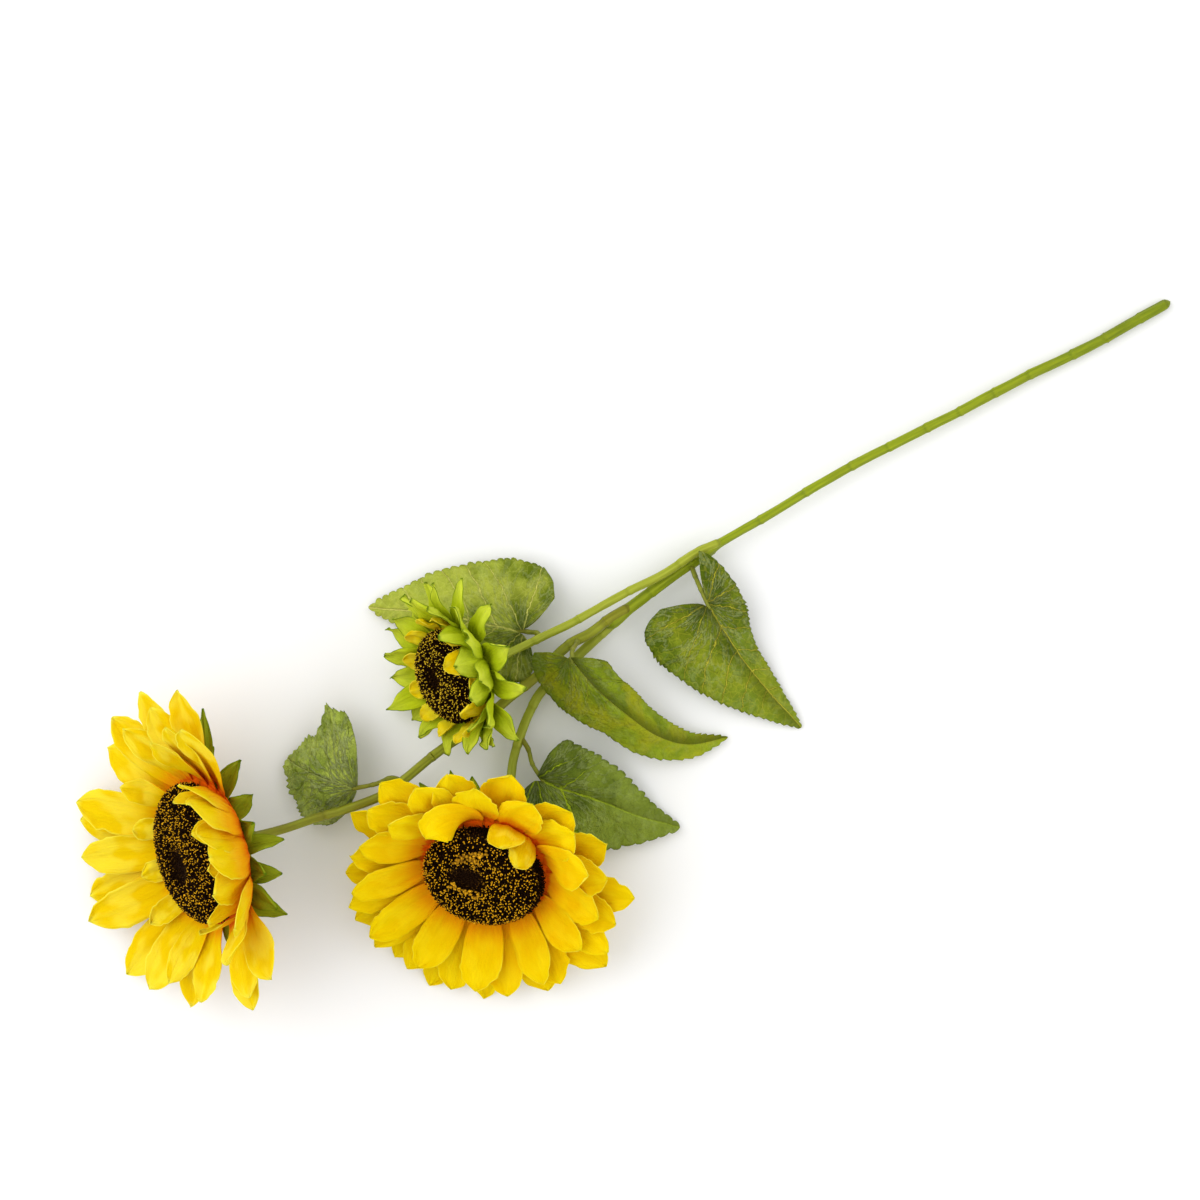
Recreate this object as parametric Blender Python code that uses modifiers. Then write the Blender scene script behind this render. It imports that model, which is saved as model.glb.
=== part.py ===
"""Cut sunflower spray: one knuckled stem that forks into three branches, two open
flower heads, one half-open head and five heart-shaped leaves, lying down at rest.

Frame: metres, +Z up, +X along the stem toward its cut end, origin at the middle of
the bounding box on the surface that the spray lies on.
"""
import math

import bpy
import numpy as np
from mathutils import Matrix, Vector

for old in list(bpy.data.objects):
    bpy.data.objects.remove(old, do_unlink=True)

MM = 0.001                 # lengths below are in millimetres unless they say otherwise
GAP = 0.3                  # clearance kept between solids that touch on the real object
PETAL_THICK = 0.5
LEAF_THICK = 0.5
LAYER_PITCH = 0.85         # distance between two stacked petal or sepal layers
LAYER_STEP = 0.95          # growth of the base radius from one layer to the next
PETAL_CUP = 0.16           # rise of a petal's edges, as a share of its half width
LEAF_DROOP = 5.0           # extra slope from a leaf's midrib to its edge, degrees
SPRAY_CENTRE = (12.1, 4.05, -0.04)   # puts the origin under the middle of the whole

# Width of a petal, a sepal and a leaf half along its own length, as shares of the widest.
PETAL_T = (0.0, 0.12, 0.30, 0.50, 0.70, 0.86, 0.95, 1.0)
PETAL_W = (0.58, 0.78, 0.95, 1.0, 0.95, 0.74, 0.44, 0.12)
PETAL_STEPS = (0.0, 0.18, 0.42, 0.68, 0.88, 1.0)
SEPAL_T = (0.0, 0.20, 0.45, 0.70, 0.90, 1.0)
SEPAL_W = (0.75, 0.98, 1.0, 0.66, 0.24, 0.06)
SEPAL_STEPS = (0.0, 0.40, 0.75, 1.0)
# A leaf starts behind its hub with two lobes, so the inner edge leaves a notch there.
LEAF_S = (-0.17, -0.12, -0.04, 0.06, 0.18, 0.33, 0.50, 0.66, 0.80, 0.91, 1.0)
LEAF_W = (0.72, 0.89, 0.98, 1.0, 0.98, 0.86, 0.68, 0.48, 0.29, 0.13, 0.02)
LEAF_I = (0.50, 0.28, 0.09, 0.0, 0.0, 0.0, 0.0, 0.0, 0.0, 0.0, 0.0)
# One half of a leaf steps in sharply behind its widest part.
STEPPED_W = (0.72, 0.89, 0.98, 1.0, 1.0, 0.97, 0.56, 0.42, 0.29, 0.14, 0.02)

PARTS = bpy.data.collections.new("cut_sunflower")
bpy.context.scene.collection.children.link(PARTS)


# ---------------------------------------------------------------- materials
def material(name, rgb, roughness):
    """A Principled material with one base colour."""
    mat = bpy.data.materials.new(name)
    mat.use_nodes = True
    bsdf = mat.node_tree.nodes["Principled BSDF"]
    bsdf.inputs["Base Color"].default_value = (*rgb, 1.0)
    bsdf.inputs["Roughness"].default_value = roughness
    mat.diffuse_color = (*rgb, 1.0)
    return mat


PETAL = material("petal_fabric", (0.90, 0.62, 0.02), 0.70)
SEPAL = material("sepal_fabric", (0.33, 0.45, 0.05), 0.75)
LEAF = material("leaf_fabric", (0.12, 0.22, 0.04), 0.75)
STEM = material("stem_plastic", (0.32, 0.40, 0.06), 0.55)
CUP = material("receptacle_plastic", (0.26, 0.35, 0.05), 0.60)
SEED = material("seed_disc_plastic", (0.05, 0.025, 0.01), 0.65)


# ---------------------------------------------------------------- shape helpers
def empty(name, parent=None, matrix=None):
    """A placing point for the pieces that hang on it."""
    ob = bpy.data.objects.new(name, None)
    PARTS.objects.link(ob)
    ob.parent = parent
    if matrix is not None:
        ob.matrix_basis = matrix
    return ob


def add_object(name, data, mat, parent):
    """Links a mesh or curve to the spray as one named sub-part."""
    data.materials.append(mat)
    ob = bpy.data.objects.new(name, data)
    PARTS.objects.link(ob)
    ob.parent = parent
    return ob


def sheet(name, points, faces, thick, mat, parent):
    """A closed solid made by thickening an open surface to both sides."""
    mesh = bpy.data.meshes.new(name)
    mesh.from_pydata([tuple(Vector(p) * MM) for p in points], [], faces)
    mesh.shade_smooth()
    ob = add_object(name, mesh, mat, parent)
    solid = ob.modifiers.new("thickness", "SOLIDIFY")
    solid.thickness = thick * MM
    solid.offset = 0.0
    return ob


def turned(name, profile, segments, mat, parent):
    """A body of revolution; the profile's (radius, level) pairs run from top to bottom."""
    mesh = bpy.data.meshes.new(name)
    edges = [(i, i + 1) for i in range(len(profile) - 1)]
    mesh.from_pydata([(r * MM, 0.0, z * MM) for r, z in profile], edges, [])
    ob = add_object(name, mesh, mat, parent)
    turn = ob.modifiers.new("turn", "SCREW")
    turn.axis = "Z"
    turn.steps = segments
    turn.render_steps = segments
    turn.use_merge_vertices = True
    turn.merge_threshold = 0.00001
    return ob


def spline(points, t):
    """Smooth curve through the points at shares t of its length."""
    pts = np.array(points, float)
    d = np.concatenate([[0.0], np.cumsum(np.linalg.norm(np.diff(pts, axis=0), axis=1))])
    d /= d[-1]
    out = []
    for q in np.clip(np.atleast_1d(t), 0.0, 1.0):
        i = min(max(int(np.searchsorted(d, q)) - 1, 0), len(pts) - 2)
        h = d[i + 1] - d[i]
        u = (q - d[i]) / h
        p1, p2 = pts[i], pts[i + 1]
        m1 = (pts[i + 1] - pts[i - 1]) / (d[i + 1] - d[i - 1]) * h if i > 0 else p2 - p1
        m2 = (pts[i + 2] - pts[i]) / (d[i + 2] - d[i]) * h if i + 2 < len(pts) else p2 - p1
        out.append((2 * u ** 3 - 3 * u ** 2 + 1) * p1 + (u ** 3 - 2 * u ** 2 + u) * m1
                   + (3 * u ** 2 - 2 * u ** 3) * p2 + (u ** 3 - u ** 2) * m2)
    return np.array(out)


def rod(name, route, radii, stations, knuckles=(), swell=0.0, flare=0.0, sides=2):
    """A stem along a route, as a bevelled curve with filled ends.

    radii are the first and last; knuckles are shares of the length where the stem swells;
    flare widens the far end, where two branches start side by side.
    """
    shares = {round(i / (stations - 1), 4) for i in range(stations)}
    for k in knuckles:
        shares |= {k - KNUCKLE_HALF, k, k + KNUCKLE_HALF}
    shares = sorted(shares)
    curve = bpy.data.curves.new(name, "CURVE")
    curve.dimensions = "3D"
    curve.bevel_depth = MM
    curve.bevel_resolution = sides
    curve.use_fill_caps = True
    line = curve.splines.new("POLY")
    line.points.add(len(shares) - 1)
    for point, share, place in zip(line.points, shares, spline(route, shares)):
        point.co = (*(Vector(place) * MM), 1.0)
        point.radius = radii[0] + (radii[1] - radii[0]) * share
        point.radius += swell if share in knuckles else 0.0
    line.points[-1].radius += flare
    return add_object(name, curve, STEM, SPRAY)


# ---------------------------------------------------------------- flower heads
def head_matrix(centre, azimuth, tilt):
    """Head coordinates: local +Z is the way the flower faces, local +Y is uphill."""
    a, t = math.radians(azimuth), math.radians(tilt)
    face = Vector((math.cos(a) * math.sin(t), math.sin(a) * math.sin(t), math.cos(t)))
    uphill = Vector((-math.cos(a) * math.cos(t), -math.sin(a) * math.cos(t), math.sin(t)))
    side = uphill.cross(face)
    turn = Matrix((side, uphill, face)).transposed().to_4x4()
    return Matrix.Translation(Vector(centre) * MM) @ turn


def blade_rows(spec, radius, level, profile, cup, shares):
    """Two or three points across at each share of one petal or sepal, base first."""
    azimuth, length, width, lean, curl, bend = spec
    start = math.radians(azimuth)
    point = np.array([radius * math.cos(start), radius * math.sin(start), level])
    face = np.array([0.0, 0.0, 1.0])
    rows = []
    last = 0.0
    for t in shares:
        a = math.radians(lean + curl * t)
        b = start + math.radians(bend * t)
        out = np.array([math.cos(b), math.sin(b), 0.0])
        side = np.array([-math.sin(b), math.cos(b), 0.0])
        along = math.cos(a) * out + math.sin(a) * face
        above = -math.sin(a) * out + math.cos(a) * face
        point = point + along * length * (t - last)
        last = t
        half = width / 2 * np.interp(t, *profile)
        lift = cup * half * min(1.0, t / 0.25) * above
        row = [point - half * side + lift, point, point + half * side + lift]
        rows.append(row if cup > 0 else [row[0], row[2]])
    return rows


def blade_ring(name, head, specs, radius, level, hole, mat):
    """One die-cut layer: a washer with petals or sepals growing from its outer edge."""
    petal = mat == PETAL
    profile = (PETAL_T, PETAL_W) if petal else (SEPAL_T, SEPAL_W)
    shares = PETAL_STEPS if petal else SEPAL_STEPS
    cup = PETAL_CUP if petal else 0.0
    across = 2 if petal else 1
    points, faces, rim = [], [], []
    for spec in specs:
        first = len(points)
        for row in blade_rows(spec, radius, level, profile, cup, shares):
            points.extend(row)
        for j in range(len(shares) - 1):
            for k in range(across):
                a = first + j * (across + 1) + k
                faces.append((a, a + across + 1, a + across + 2, a + 1))
        rim += [first + k for k in range(across + 1)]
    inner = len(points)
    for i in rim:
        angle = math.atan2(points[i][1], points[i][0])
        points.append((hole * math.cos(angle), hole * math.sin(angle), level))
    for k in range(len(rim)):
        m = (k + 1) % len(rim)
        faces.append((inner + k, rim[k], rim[m], inner + m))
    return sheet(name, points, faces, PETAL_THICK, mat, head)


def seed_disc(name, head, radius, edge, height):
    """Thick domed disc of bristles with a shallow dimple in the middle."""
    low = PETAL_THICK / 2 + GAP
    profile = [(0, height - 2.4), (radius * 0.16, height - 2.0), (radius * 0.33, height - 0.3),
               (radius * 0.55, height), (radius * 0.80, height - 1.0), (radius - 1.8, edge),
               (radius, edge - 2.0), (radius, low + 1.5), (radius - 1.5, low), (0, low)]
    return turned(name, profile, 20, SEED, head)


def receptacle(name, head, layers, radius, depth, neck):
    """Green cup that carries the layers and narrows to the stem."""
    top = -LAYER_PITCH * (layers - 1) - PETAL_THICK / 2 - GAP
    profile = [(0, top), (radius - 0.8, top), (radius, top - 1.8),
               (radius * 0.88, -depth * 0.36), (radius * 0.55, -depth * 0.62),
               (neck + 0.6, -depth + 3.0), (neck, -depth), (0, -depth)]
    return turned(name, profile, 14, CUP, head)


def open_head(tag, head, petals, sepals, base, disc, edge, height, depth, neck):
    """An open flower: three petal layers, two sepal layers, disc and receptacle."""
    names = ("petals_inner", "petals_middle", "petals_outer")
    for i, (label, specs) in enumerate(zip(names, petals)):
        blade_ring(f"head_{tag}_{label}", head, specs, base + LAYER_STEP * i,
                   -LAYER_PITCH * i, 6.0, PETAL)
    for i, specs in enumerate(sepals):
        blade_ring(f"head_{tag}_sepals_{i + 1}", head, specs, base - 6.0 - 3.0 * i,
                   -LAYER_PITCH * (3 + i), 6.0, SEPAL)
    seed_disc(f"head_{tag}_seed_disc", head, disc, edge, height)
    receptacle(f"head_{tag}_receptacle", head, 5, base - 11.0, depth, neck)


def bud_head(tag, head, petals, sepals, base, disc, edge, height, depth, neck):
    """A half-open flower: one ring of short petals inside three layers of sepals."""
    blade_ring(f"head_{tag}_petals", head, petals, base, 0.0, 5.0, PETAL)
    for i, specs in enumerate(sepals, start=1):
        blade_ring(f"head_{tag}_sepals_{i}", head, specs, base + LAYER_STEP * i,
                   -LAYER_PITCH * i, 5.0, SEPAL)
    seed_disc(f"head_{tag}_seed_disc", head, disc, edge, height)
    receptacle(f"head_{tag}_receptacle", head, 4, base - 8.0, depth, neck)


SPRAY = empty("spray", None, Matrix.Translation(Vector(SPRAY_CENTRE) * MM))

# Each petal or sepal: azimuth in degrees round the head (90 is uphill), length, width,
# lean out of the petal plane at its base, change of lean to the tip, and sideways bend.
A_OUTER = [(10, 46, 20, 8, -4, 0), (35, 46, 21, 12, 0, 0), (60, 46, 21, 36, 16, 10),
           (86, 47, 22, 42, 18, 24), (111, 49, 22, 42, 16, 26), (137, 50, 21, 26, 10, 6),
           (161, 51, 19, 14, -4, 0), (184, 51, 20, 16, 0, 0), (224, 50, 21, 22, 0, 0),
           (253, 60, 22, 30, 0, 0), (277, 62, 21, 31, 0, 0), (303, 65, 22, 25, 0, 0),
           (332, 52, 20, 14, 0, 0)]
A_MIDDLE = [(16, 42, 20, 16, -4, 0), (43, 45, 20, 38, 10, 0), (70, 44, 20, 47, 18, 22),
            (96, 44, 20, 50, 18, 28), (122, 46, 19, 46, 16, 22), (148, 47, 19, 34, 4, 0),
            (171, 45, 19, 27, 0, 0), (203, 51, 22, 28, 0, 0), (242, 57, 23, 38, 0, 0),
            (265, 57, 21, 40, 0, 0), (287, 62, 21, 38, 0, 0), (317, 56, 22, 30, -4, 0),
            (344, 44, 20, 22, -4, 0)]
A_INNER = [(28, 27, 12, 72, 20, 0), (52, 34, 16, 58, 20, 16), (78, 30, 15, 60, 24, 26),
           (104, 30, 16, 60, 28, 24), (130, 34, 16, 58, 34, 20), (158, 40, 15, 46, 8, 0),
           (184, 44, 16, 37, 0, 0), (222, 30, 13, 46, 4, 0), (250, 22, 12, 50, 0, 0),
           (276, 22, 12, 50, 0, 0), (301, 28, 12, 48, 0, 0), (328, 42, 15, 38, 0, 0)]
A_SEPALS_1 = [(20, 26, 12, -14, -6, 0), (48, 24, 13, -12, -4, 0), (76, 18, 14, -8, 10, 0),
              (104, 18, 14, -8, 14, 0), (134, 26, 12, -12, -6, 0), (161, 43, 8, -10, 0, 14),
              (198, 28, 12, -14, 0, 0), (230, 28, 12, -14, 0, 0), (262, 28, 12, -14, 0, 0),
              (294, 28, 12, -14, 0, 0), (326, 28, 12, -14, 0, 0), (354, 28, 11, -14, 0, 0)]
A_SEPALS_2 = [(8, 26, 12, -34, -8, 0), (36, 27, 12, -36, -8, 0), (63, 22, 12, -36, 0, 0),
              (90, 24, 10, -36, -8, 0), (118, 19, 13, -30, 4, 0), (150, 24, 11, -36, 0, 0),
              (182, 26, 10, -34, 6, 0), (214, 24, 12, -36, 0, 0), (246, 24, 12, -36, 0, 0),
              (278, 24, 12, -36, 0, 0), (310, 24, 12, -36, 0, 0), (340, 24, 11, -36, 0, 0)]
DEPTH_A = 27.0
HEAD_A = head_matrix((-267.5, 30.4, 59.8), 165, 55)
open_head("a", empty("head_a", SPRAY, HEAD_A), (A_INNER, A_MIDDLE, A_OUTER),
          (A_SEPALS_1, A_SEPALS_2), 39.5, 37.0, 12.0, 17.0, DEPTH_A, 4.2)

B_OUTER = [(9, 46, 21, 10, 0, 0), (36, 38, 22, 16, -6, 0), (63, 35, 22, 22, -20, 0),
           (92, 37, 22, 22, -20, 0), (119, 34, 21, 20, -14, 0), (150, 42, 20, 6, 0, 0),
           (171, 43, 18, 10, 0, 0), (196, 41, 18, 16, 0, 0), (222, 46, 18, 18, 0, 0),
           (241, 46, 17, 18, 0, 0), (260, 50, 17, 18, 0, 0), (280, 50, 18, 18, 0, 0),
           (307, 47, 22, 18, 0, 0), (336, 50, 22, 16, 0, 0)]
B_MIDDLE = [(0, 42, 19, 22, -4, 0), (26, 38, 21, 26, -4, 0), (51, 35, 21, 34, -16, 0),
            (78, 34, 21, 36, -20, 0), (105, 34, 21, 34, -20, 0), (132, 37, 20, 26, -10, 0),
            (158, 40, 20, 20, 0, 0), (184, 40, 19, 23, 0, 0), (209, 45, 18, 25, 0, 0),
            (231, 46, 17, 25, 0, 0), (250, 45, 17, 25, 0, 0), (270, 46, 18, 26, 0, 0),
            (294, 45, 20, 26, 0, 0), (320, 44, 19, 26, 0, 0), (345, 46, 17, 24, 0, 0)]
B_INNER = [(8, 36, 18, 36, -6, -10), (36, 41, 19, 44, -8, -6), (59, 22, 13, 78, 50, 0),
           (82, 21, 17, 60, 46, 30), (113, 34, 18, 50, -30, 150), (148, 34, 18, 38, -6, 10),
           (173, 38, 17, 32, -6, 0), (198, 42, 17, 33, 0, 0), (227, 44, 18, 35, 0, 0),
           (251, 40, 18, 36, 0, 0), (283, 42, 19, 36, -4, 0), (313, 41, 18, 36, 0, 0),
           (340, 36, 16, 38, 0, 0)]
B_SEPALS_1 = [(10, 30, 12, -8, -6, 0), (38, 28, 12, -10, -6, 0), (66, 24, 12, -10, -6, 0),
              (94, 24, 12, -10, -6, 0), (116, 28, 12, -10, -4, 0), (141, 33, 12, -10, -4, 0),
              (168, 28, 12, -8, 0, 0), (196, 24, 12, -6, 0, 0), (226, 22, 12, -6, 0, 0),
              (256, 22, 12, -6, 0, 0), (286, 22, 12, -6, 0, 0), (316, 22, 12, -6, 0, 0),
              (344, 24, 12, -6, 0, 0)]
B_SEPALS_2 = [(24, 26, 12, -30, 6, 0), (52, 24, 12, -32, 6, 0), (80, 24, 12, -34, 6, 0),
              (105, 26, 12, -32, 6, 0), (128, 33, 12, -30, 6, 0), (155, 30, 12, -28, 6, 0),
              (184, 20, 11, -22, 16, 0), (214, 16, 11, -20, 16, 0), (246, 14, 11, -20, 16, 0),
              (278, 14, 11, -20, 16, 0), (310, 16, 11, -20, 16, 0), (342, 20, 11, -22, 16, 0)]
DEPTH_B = 20.0
HEAD_B = head_matrix((-146.0, -50.3, 38.8), 225, 37)
open_head("b", empty("head_b", SPRAY, HEAD_B), (B_INNER, B_MIDDLE, B_OUTER),
          (B_SEPALS_1, B_SEPALS_2), 34.0, 32.0, 10.5, 15.0, DEPTH_B, 3.8)

C_PETALS = [(20, 18, 8, 64, 16, 0), (47, 22, 11, 72, 30, 0), (75, 15, 9, 70, 20, 0),
            (103, 24, 11, 74, 34, 0), (130, 18, 9, 68, 20, 0), (158, 14, 8, 58, 0, 0),
            (188, 13, 8, 54, 0, 0), (216, 13, 8, 54, 0, 0), (243, 13, 9, 54, 0, 0),
            (270, 13, 9, 54, 0, 0), (297, 14, 9, 54, 0, 0), (324, 14, 9, 54, 0, 0),
            (351, 15, 8, 58, 0, 0)]
C_SEPALS_1 = [(10, 22, 14, 50, 6, 0), (38, 26, 16, 54, 24, 0), (66, 24, 16, 56, 26, 0),
              (94, 26, 16, 56, 30, 0), (122, 27, 16, 54, 26, 0), (150, 24, 14, 48, 10, 0),
              (180, 22, 12, 40, 0, 0), (212, 22, 12, 36, 0, 0), (242, 24, 12, 34, 0, 0),
              (272, 32, 12, 32, 0, 0), (302, 22, 12, 36, 0, 0), (334, 20, 12, 44, 0, 0)]
C_SEPALS_2 = [(24, 22, 14, 34, 4, 0), (52, 26, 15, 38, 14, 0), (80, 27, 15, 40, 16, 0),
              (108, 28, 15, 38, 12, 0), (136, 26, 13, 30, 0, 0), (165, 24, 12, 22, -4, 0),
              (196, 24, 12, 20, 0, 0), (226, 26, 12, 18, 0, 0), (256, 26, 12, 18, 0, 0),
              (286, 24, 12, 20, 0, 0), (316, 18, 12, 26, 0, 0), (350, 16, 12, 30, 0, 0)]
C_SEPALS_3 = [(8, 14, 12, 8, -10, 0), (40, 24, 13, 10, -14, 0), (68, 26, 14, 12, -14, 0),
              (94, 26, 14, 10, -14, 0), (122, 26, 12, 4, -14, 0), (150, 24, 11, -4, -14, 0),
              (180, 22, 10, 0, -8, 0), (212, 20, 10, 2, 0, 0), (244, 20, 10, 2, 0, 0),
              (276, 20, 10, 2, 0, 0), (308, 14, 10, 6, 0, 0), (338, 12, 10, 6, 0, 0)]
DEPTH_C = 20.0
HEAD_C = head_matrix((-108.7, 48.4, 44.0), 171, 54)
bud_head("c", empty("head_c", SPRAY, HEAD_C), C_PETALS,
         (C_SEPALS_1, C_SEPALS_2, C_SEPALS_3), 27.0, 25.0, 9.5, 13.5, DEPTH_C, 3.4)


# ---------------------------------------------------------------- stems
def neck_points(head, depth):
    """The last two points of a stem that runs into the back of a head."""
    return [tuple(head @ Vector((0, 0, -(depth + GAP + back) * MM)) / MM)
            for back in (6.1, 0.1)]


KNUCKLE_HALF = 0.008       # half the length of a knuckle, as a share of the stem
KNUCKLES = (0.055, 0.13, 0.20, 0.29, 0.365, 0.44, 0.51, 0.59, 0.67, 0.77, 0.87)
MAIN_ROUTE = [(327, 37.4, 3.2), (315, 37.4, 3.5), (291.6, 37.2, 3.9), (242, 39.6, 4.8),
              (190.4, 41, 7), (141.3, 43.1, 8.5), (80.7, 42.2, 10.5), (37.3, 41.4, 12.4)]
FORK_ROUTE = [(36.6, 39.9, 9.9), (20, 38.0, 10), (4.4, 36.4, 11), (-8.4, 34.8, 12),
              (-22.8, 33.0, 13)]
STEM_A_ROUTE = [(-23.2, 34.3, 15.9), (-36.3, 32.8, 17), (-47.9, 33.1, 18),
                (-71.9, 26.6, 18.5), (-92.4, 23.2, 18.5), (-114.7, 18.4, 18.5), (-137, 16.7, 21),
                (-164.8, 11.9, 27), (-177, 10.8, 29), (-197.4, 13.6, 30),
                (-216.7, 17.9, 31), (-231, 20.5, 34)] + neck_points(HEAD_A, DEPTH_A)
STEM_B_ROUTE = [(-23.2, 31.3, 10.1), (-39.4, 27.6, 9.5), (-50.3, 25.0, 9.5),
                (-68.4, 20, 10), (-77.8, 16.5, 10.5), (-87.6, 10, 11), (-95.9, 2.9, 12),
                (-106.6, -7.4, 13), (-114.1, -17.6, 13.5), (-122, -26, 13),
                (-129.5, -33, 14.5)] + neck_points(HEAD_B, DEPTH_B)
STEM_C_ROUTE = [(36.6, 42.9, 15.6), (12.6, 41.8, 17), (-7.4, 42.3, 18.5),
                (-22.7, 42.7, 20), (-40.4, 42.5, 22), (-59.2, 43.8, 24),
                (-76, 44.5, 25)] + neck_points(HEAD_C, DEPTH_C)

MAIN_RADII = (2.9, 2.4)
FORK_RADII = (3.0, 3.2)
STEM_A_RADII = (2.7, 2.4)
STEM_B_RADII = (2.7, 2.3)
STEM_C_RADII = (2.3, 2.2)

rod("main_stem", MAIN_ROUTE, MAIN_RADII, 16, KNUCKLES, 0.4, 2.6)
rod("fork_stem", FORK_ROUTE, FORK_RADII, 7, flare=1.6)
rod("stem_a", STEM_A_ROUTE, STEM_A_RADII, 22)
rod("stem_b", STEM_B_ROUTE, STEM_B_RADII, 20)
rod("stem_c", STEM_C_ROUTE, STEM_C_RADII, 14)


# ---------------------------------------------------------------- leaves
def leaf_halves(route, widths, slopes, lobes, sweep, outlines):
    """Points across both halves of a leaf at every station, lobes first."""
    line = spline(route, np.linspace(0, 1, 60))
    length = float(np.sum(np.linalg.norm(np.diff(line, axis=0), axis=1)))
    halves = []
    for h, sign in enumerate((1, -1)):
        rows = []
        for s, outer, inner in zip(LEAF_S, outlines[h], LEAF_I):
            share = max(s, 0.0)
            mid = spline(route, share)[0]
            ahead = spline(route, min(share + 0.02, 1))[0]
            back = spline(route, max(share - 0.02, 0))[0]
            along = (ahead - back) / np.linalg.norm(ahead - back)
            side = np.cross([0.0, 0.0, 1.0], along)
            side /= np.linalg.norm(side)
            above = np.cross(along, side)
            if s < 0:
                mid = mid + along * np.array([1, 1, 0.3]) * s * length * lobes[h]
            slope = np.interp(share, (0, 0.45, 1), slopes[h])
            row = []
            for k in range(3):
                u = widths[h] * (inner + (outer - inner) * k / 2)
                a = math.radians(slope - LEAF_DROOP * u / widths[h])
                w = math.radians(sweep[h])
                out = sign * side * math.cos(w) + along * math.sin(w)
                row.append(mid + out * u * math.cos(a) + above * u * math.sin(a))
            rows.append(row)
        halves.append(rows)
    return halves


def leaf(name, route, widths, slopes, lobes, sweep, outlines=(LEAF_W, LEAF_W)):
    """A heart-shaped blade: both halves share the midrib from the hub to the tip."""
    halves = leaf_halves(route, widths, slopes, lobes, sweep, outlines)
    verts, faces = [], []
    hub = next(i for i, s in enumerate(LEAF_S) if s > 0)
    index = [[], []]
    for h in (0, 1):
        for i, row in enumerate(halves[h]):
            ids = []
            for k, p in enumerate(row):
                if h == 1 and k == 0 and i >= hub:
                    ids.append(index[0][i][0])
                    continue
                ids.append(len(verts))
                verts.append(p)
            index[h].append(ids)
    for i in range(len(LEAF_S) - 1):
        for k in range(2):
            a, b = index[0][i], index[0][i + 1]
            faces.append((a[k], b[k], b[k + 1], a[k + 1]))
            a, b = index[1][i], index[1][i + 1]
            faces.append((a[k], a[k + 1], b[k + 1], b[k]))
    return sheet(name, verts, faces, LEAF_THICK, LEAF, SPRAY)


PETIOLE_RADII = (1.25, 1.0)


def petiole(name, stem, stem_radii, share, route, hub_drop=1.8):
    """Leaf stalk from the side of a stem to just under the leaf's hub."""
    centre = spline(stem, share)[0]
    radius = stem_radii[0] + (stem_radii[1] - stem_radii[0]) * share
    near = spline(stem, min(share + 0.01, 1.0))[0] - spline(stem, share - 0.01)[0]
    near /= np.linalg.norm(near)
    way = np.array(route[0], float) - centre
    way -= near * np.dot(way, near)
    way /= np.linalg.norm(way)
    start = centre + way * (radius + GAP)
    points = [start, start + way * 3.0] + [np.array(p, float) for p in route[1:]]
    points[-1] = points[-1] - np.array([0, 0, hub_drop])
    return rod(name, [tuple(p) for p in points], PETIOLE_RADII, 9, sides=1)


LEAF_1 = [(-68, 51, 20), (-86, 67, 15), (-103, 82, 11), (-121, 94, 7), (-136, 104, 3)]
LEAF_2 = [(-186, 20, 34), (-195, 29, 33), (-203, 38, 28), (-210, 46, 18), (-215, 53, 5)]
LEAF_3 = [(-52, 27, 44), (-48, 7, 47), (-40, -15, 41), (-31, -34, 27), (-18, -47, 12),
          (2, -54, 3)]
LEAF_4 = [(27, 16, 24), (27.6, 1, 25), (29, -17, 20), (33, -40, 12), (40, -69, 2)]
LEAF_5 = [(-99.5, -21.5, 27), (-91.5, -32, 27), (-76, -49, 22), (-62, -67, 12),
          (-45, -84.5, 4)]
leaf("leaf_1", LEAF_1, (28, 38), ((-6, -10, -10), (-4, -6, -8)), (0.6, 0.8), (0, 4))
leaf("leaf_2", LEAF_2, (36, 42), ((-34, -20, -10), (-6, -10, -10)), (0.3, 0.3), (27, 27),
     (LEAF_W, STEPPED_W))
leaf("leaf_3", LEAF_3, (27, 32), ((-44, -44, -4), (-42, -46, -20)), (0.05, 0.7), (40, 0))
leaf("leaf_4", LEAF_4, (20, 40), ((-16, -44, -20), (-8, -12, -10)), (1.5, 0.6), (0, 0))
leaf("leaf_5", LEAF_5, (26, 42), ((-8, -10, -10), (-8, -8, -10)), (0.15, 0.5), (14, 4))
petiole("petiole_1", STEM_C_ROUTE, STEM_C_RADII, 0.78,
        [(-61, 47, 21), (-64.5, 48, 18.5), (-70, 52.5, 20)])
petiole("petiole_2", STEM_A_ROUTE, STEM_A_RADII, 0.625,
        [(-168, 17, 30), (-176, 17.5, 31), (-187, 21.5, 34.2)], 1.5)
petiole("petiole_3", STEM_A_ROUTE, STEM_A_RADII, 0.12,
        [(-45, 32, 28), (-49, 30, 35), (-52, 25, 44)])
petiole("petiole_4", FORK_ROUTE, FORK_RADII, 0.10,
        [(29, 33, 14), (28, 26, 20), (27, 14.5, 24.2)], 1.7)
petiole("petiole_5", STEM_B_ROUTE, STEM_B_RADII, 0.66,
        [(-96, -6, 15), (-98, -14, 21), (-97.6, -24.5, 26.4)], 0.6)
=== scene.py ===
"""Cut sunflower spray: cloth petals, sepals and leaves, bristly seed discs and moulded
stems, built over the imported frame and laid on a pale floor."""

import math
import random

import bmesh
import bpy
import numpy as np
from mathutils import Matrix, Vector, noise


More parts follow.
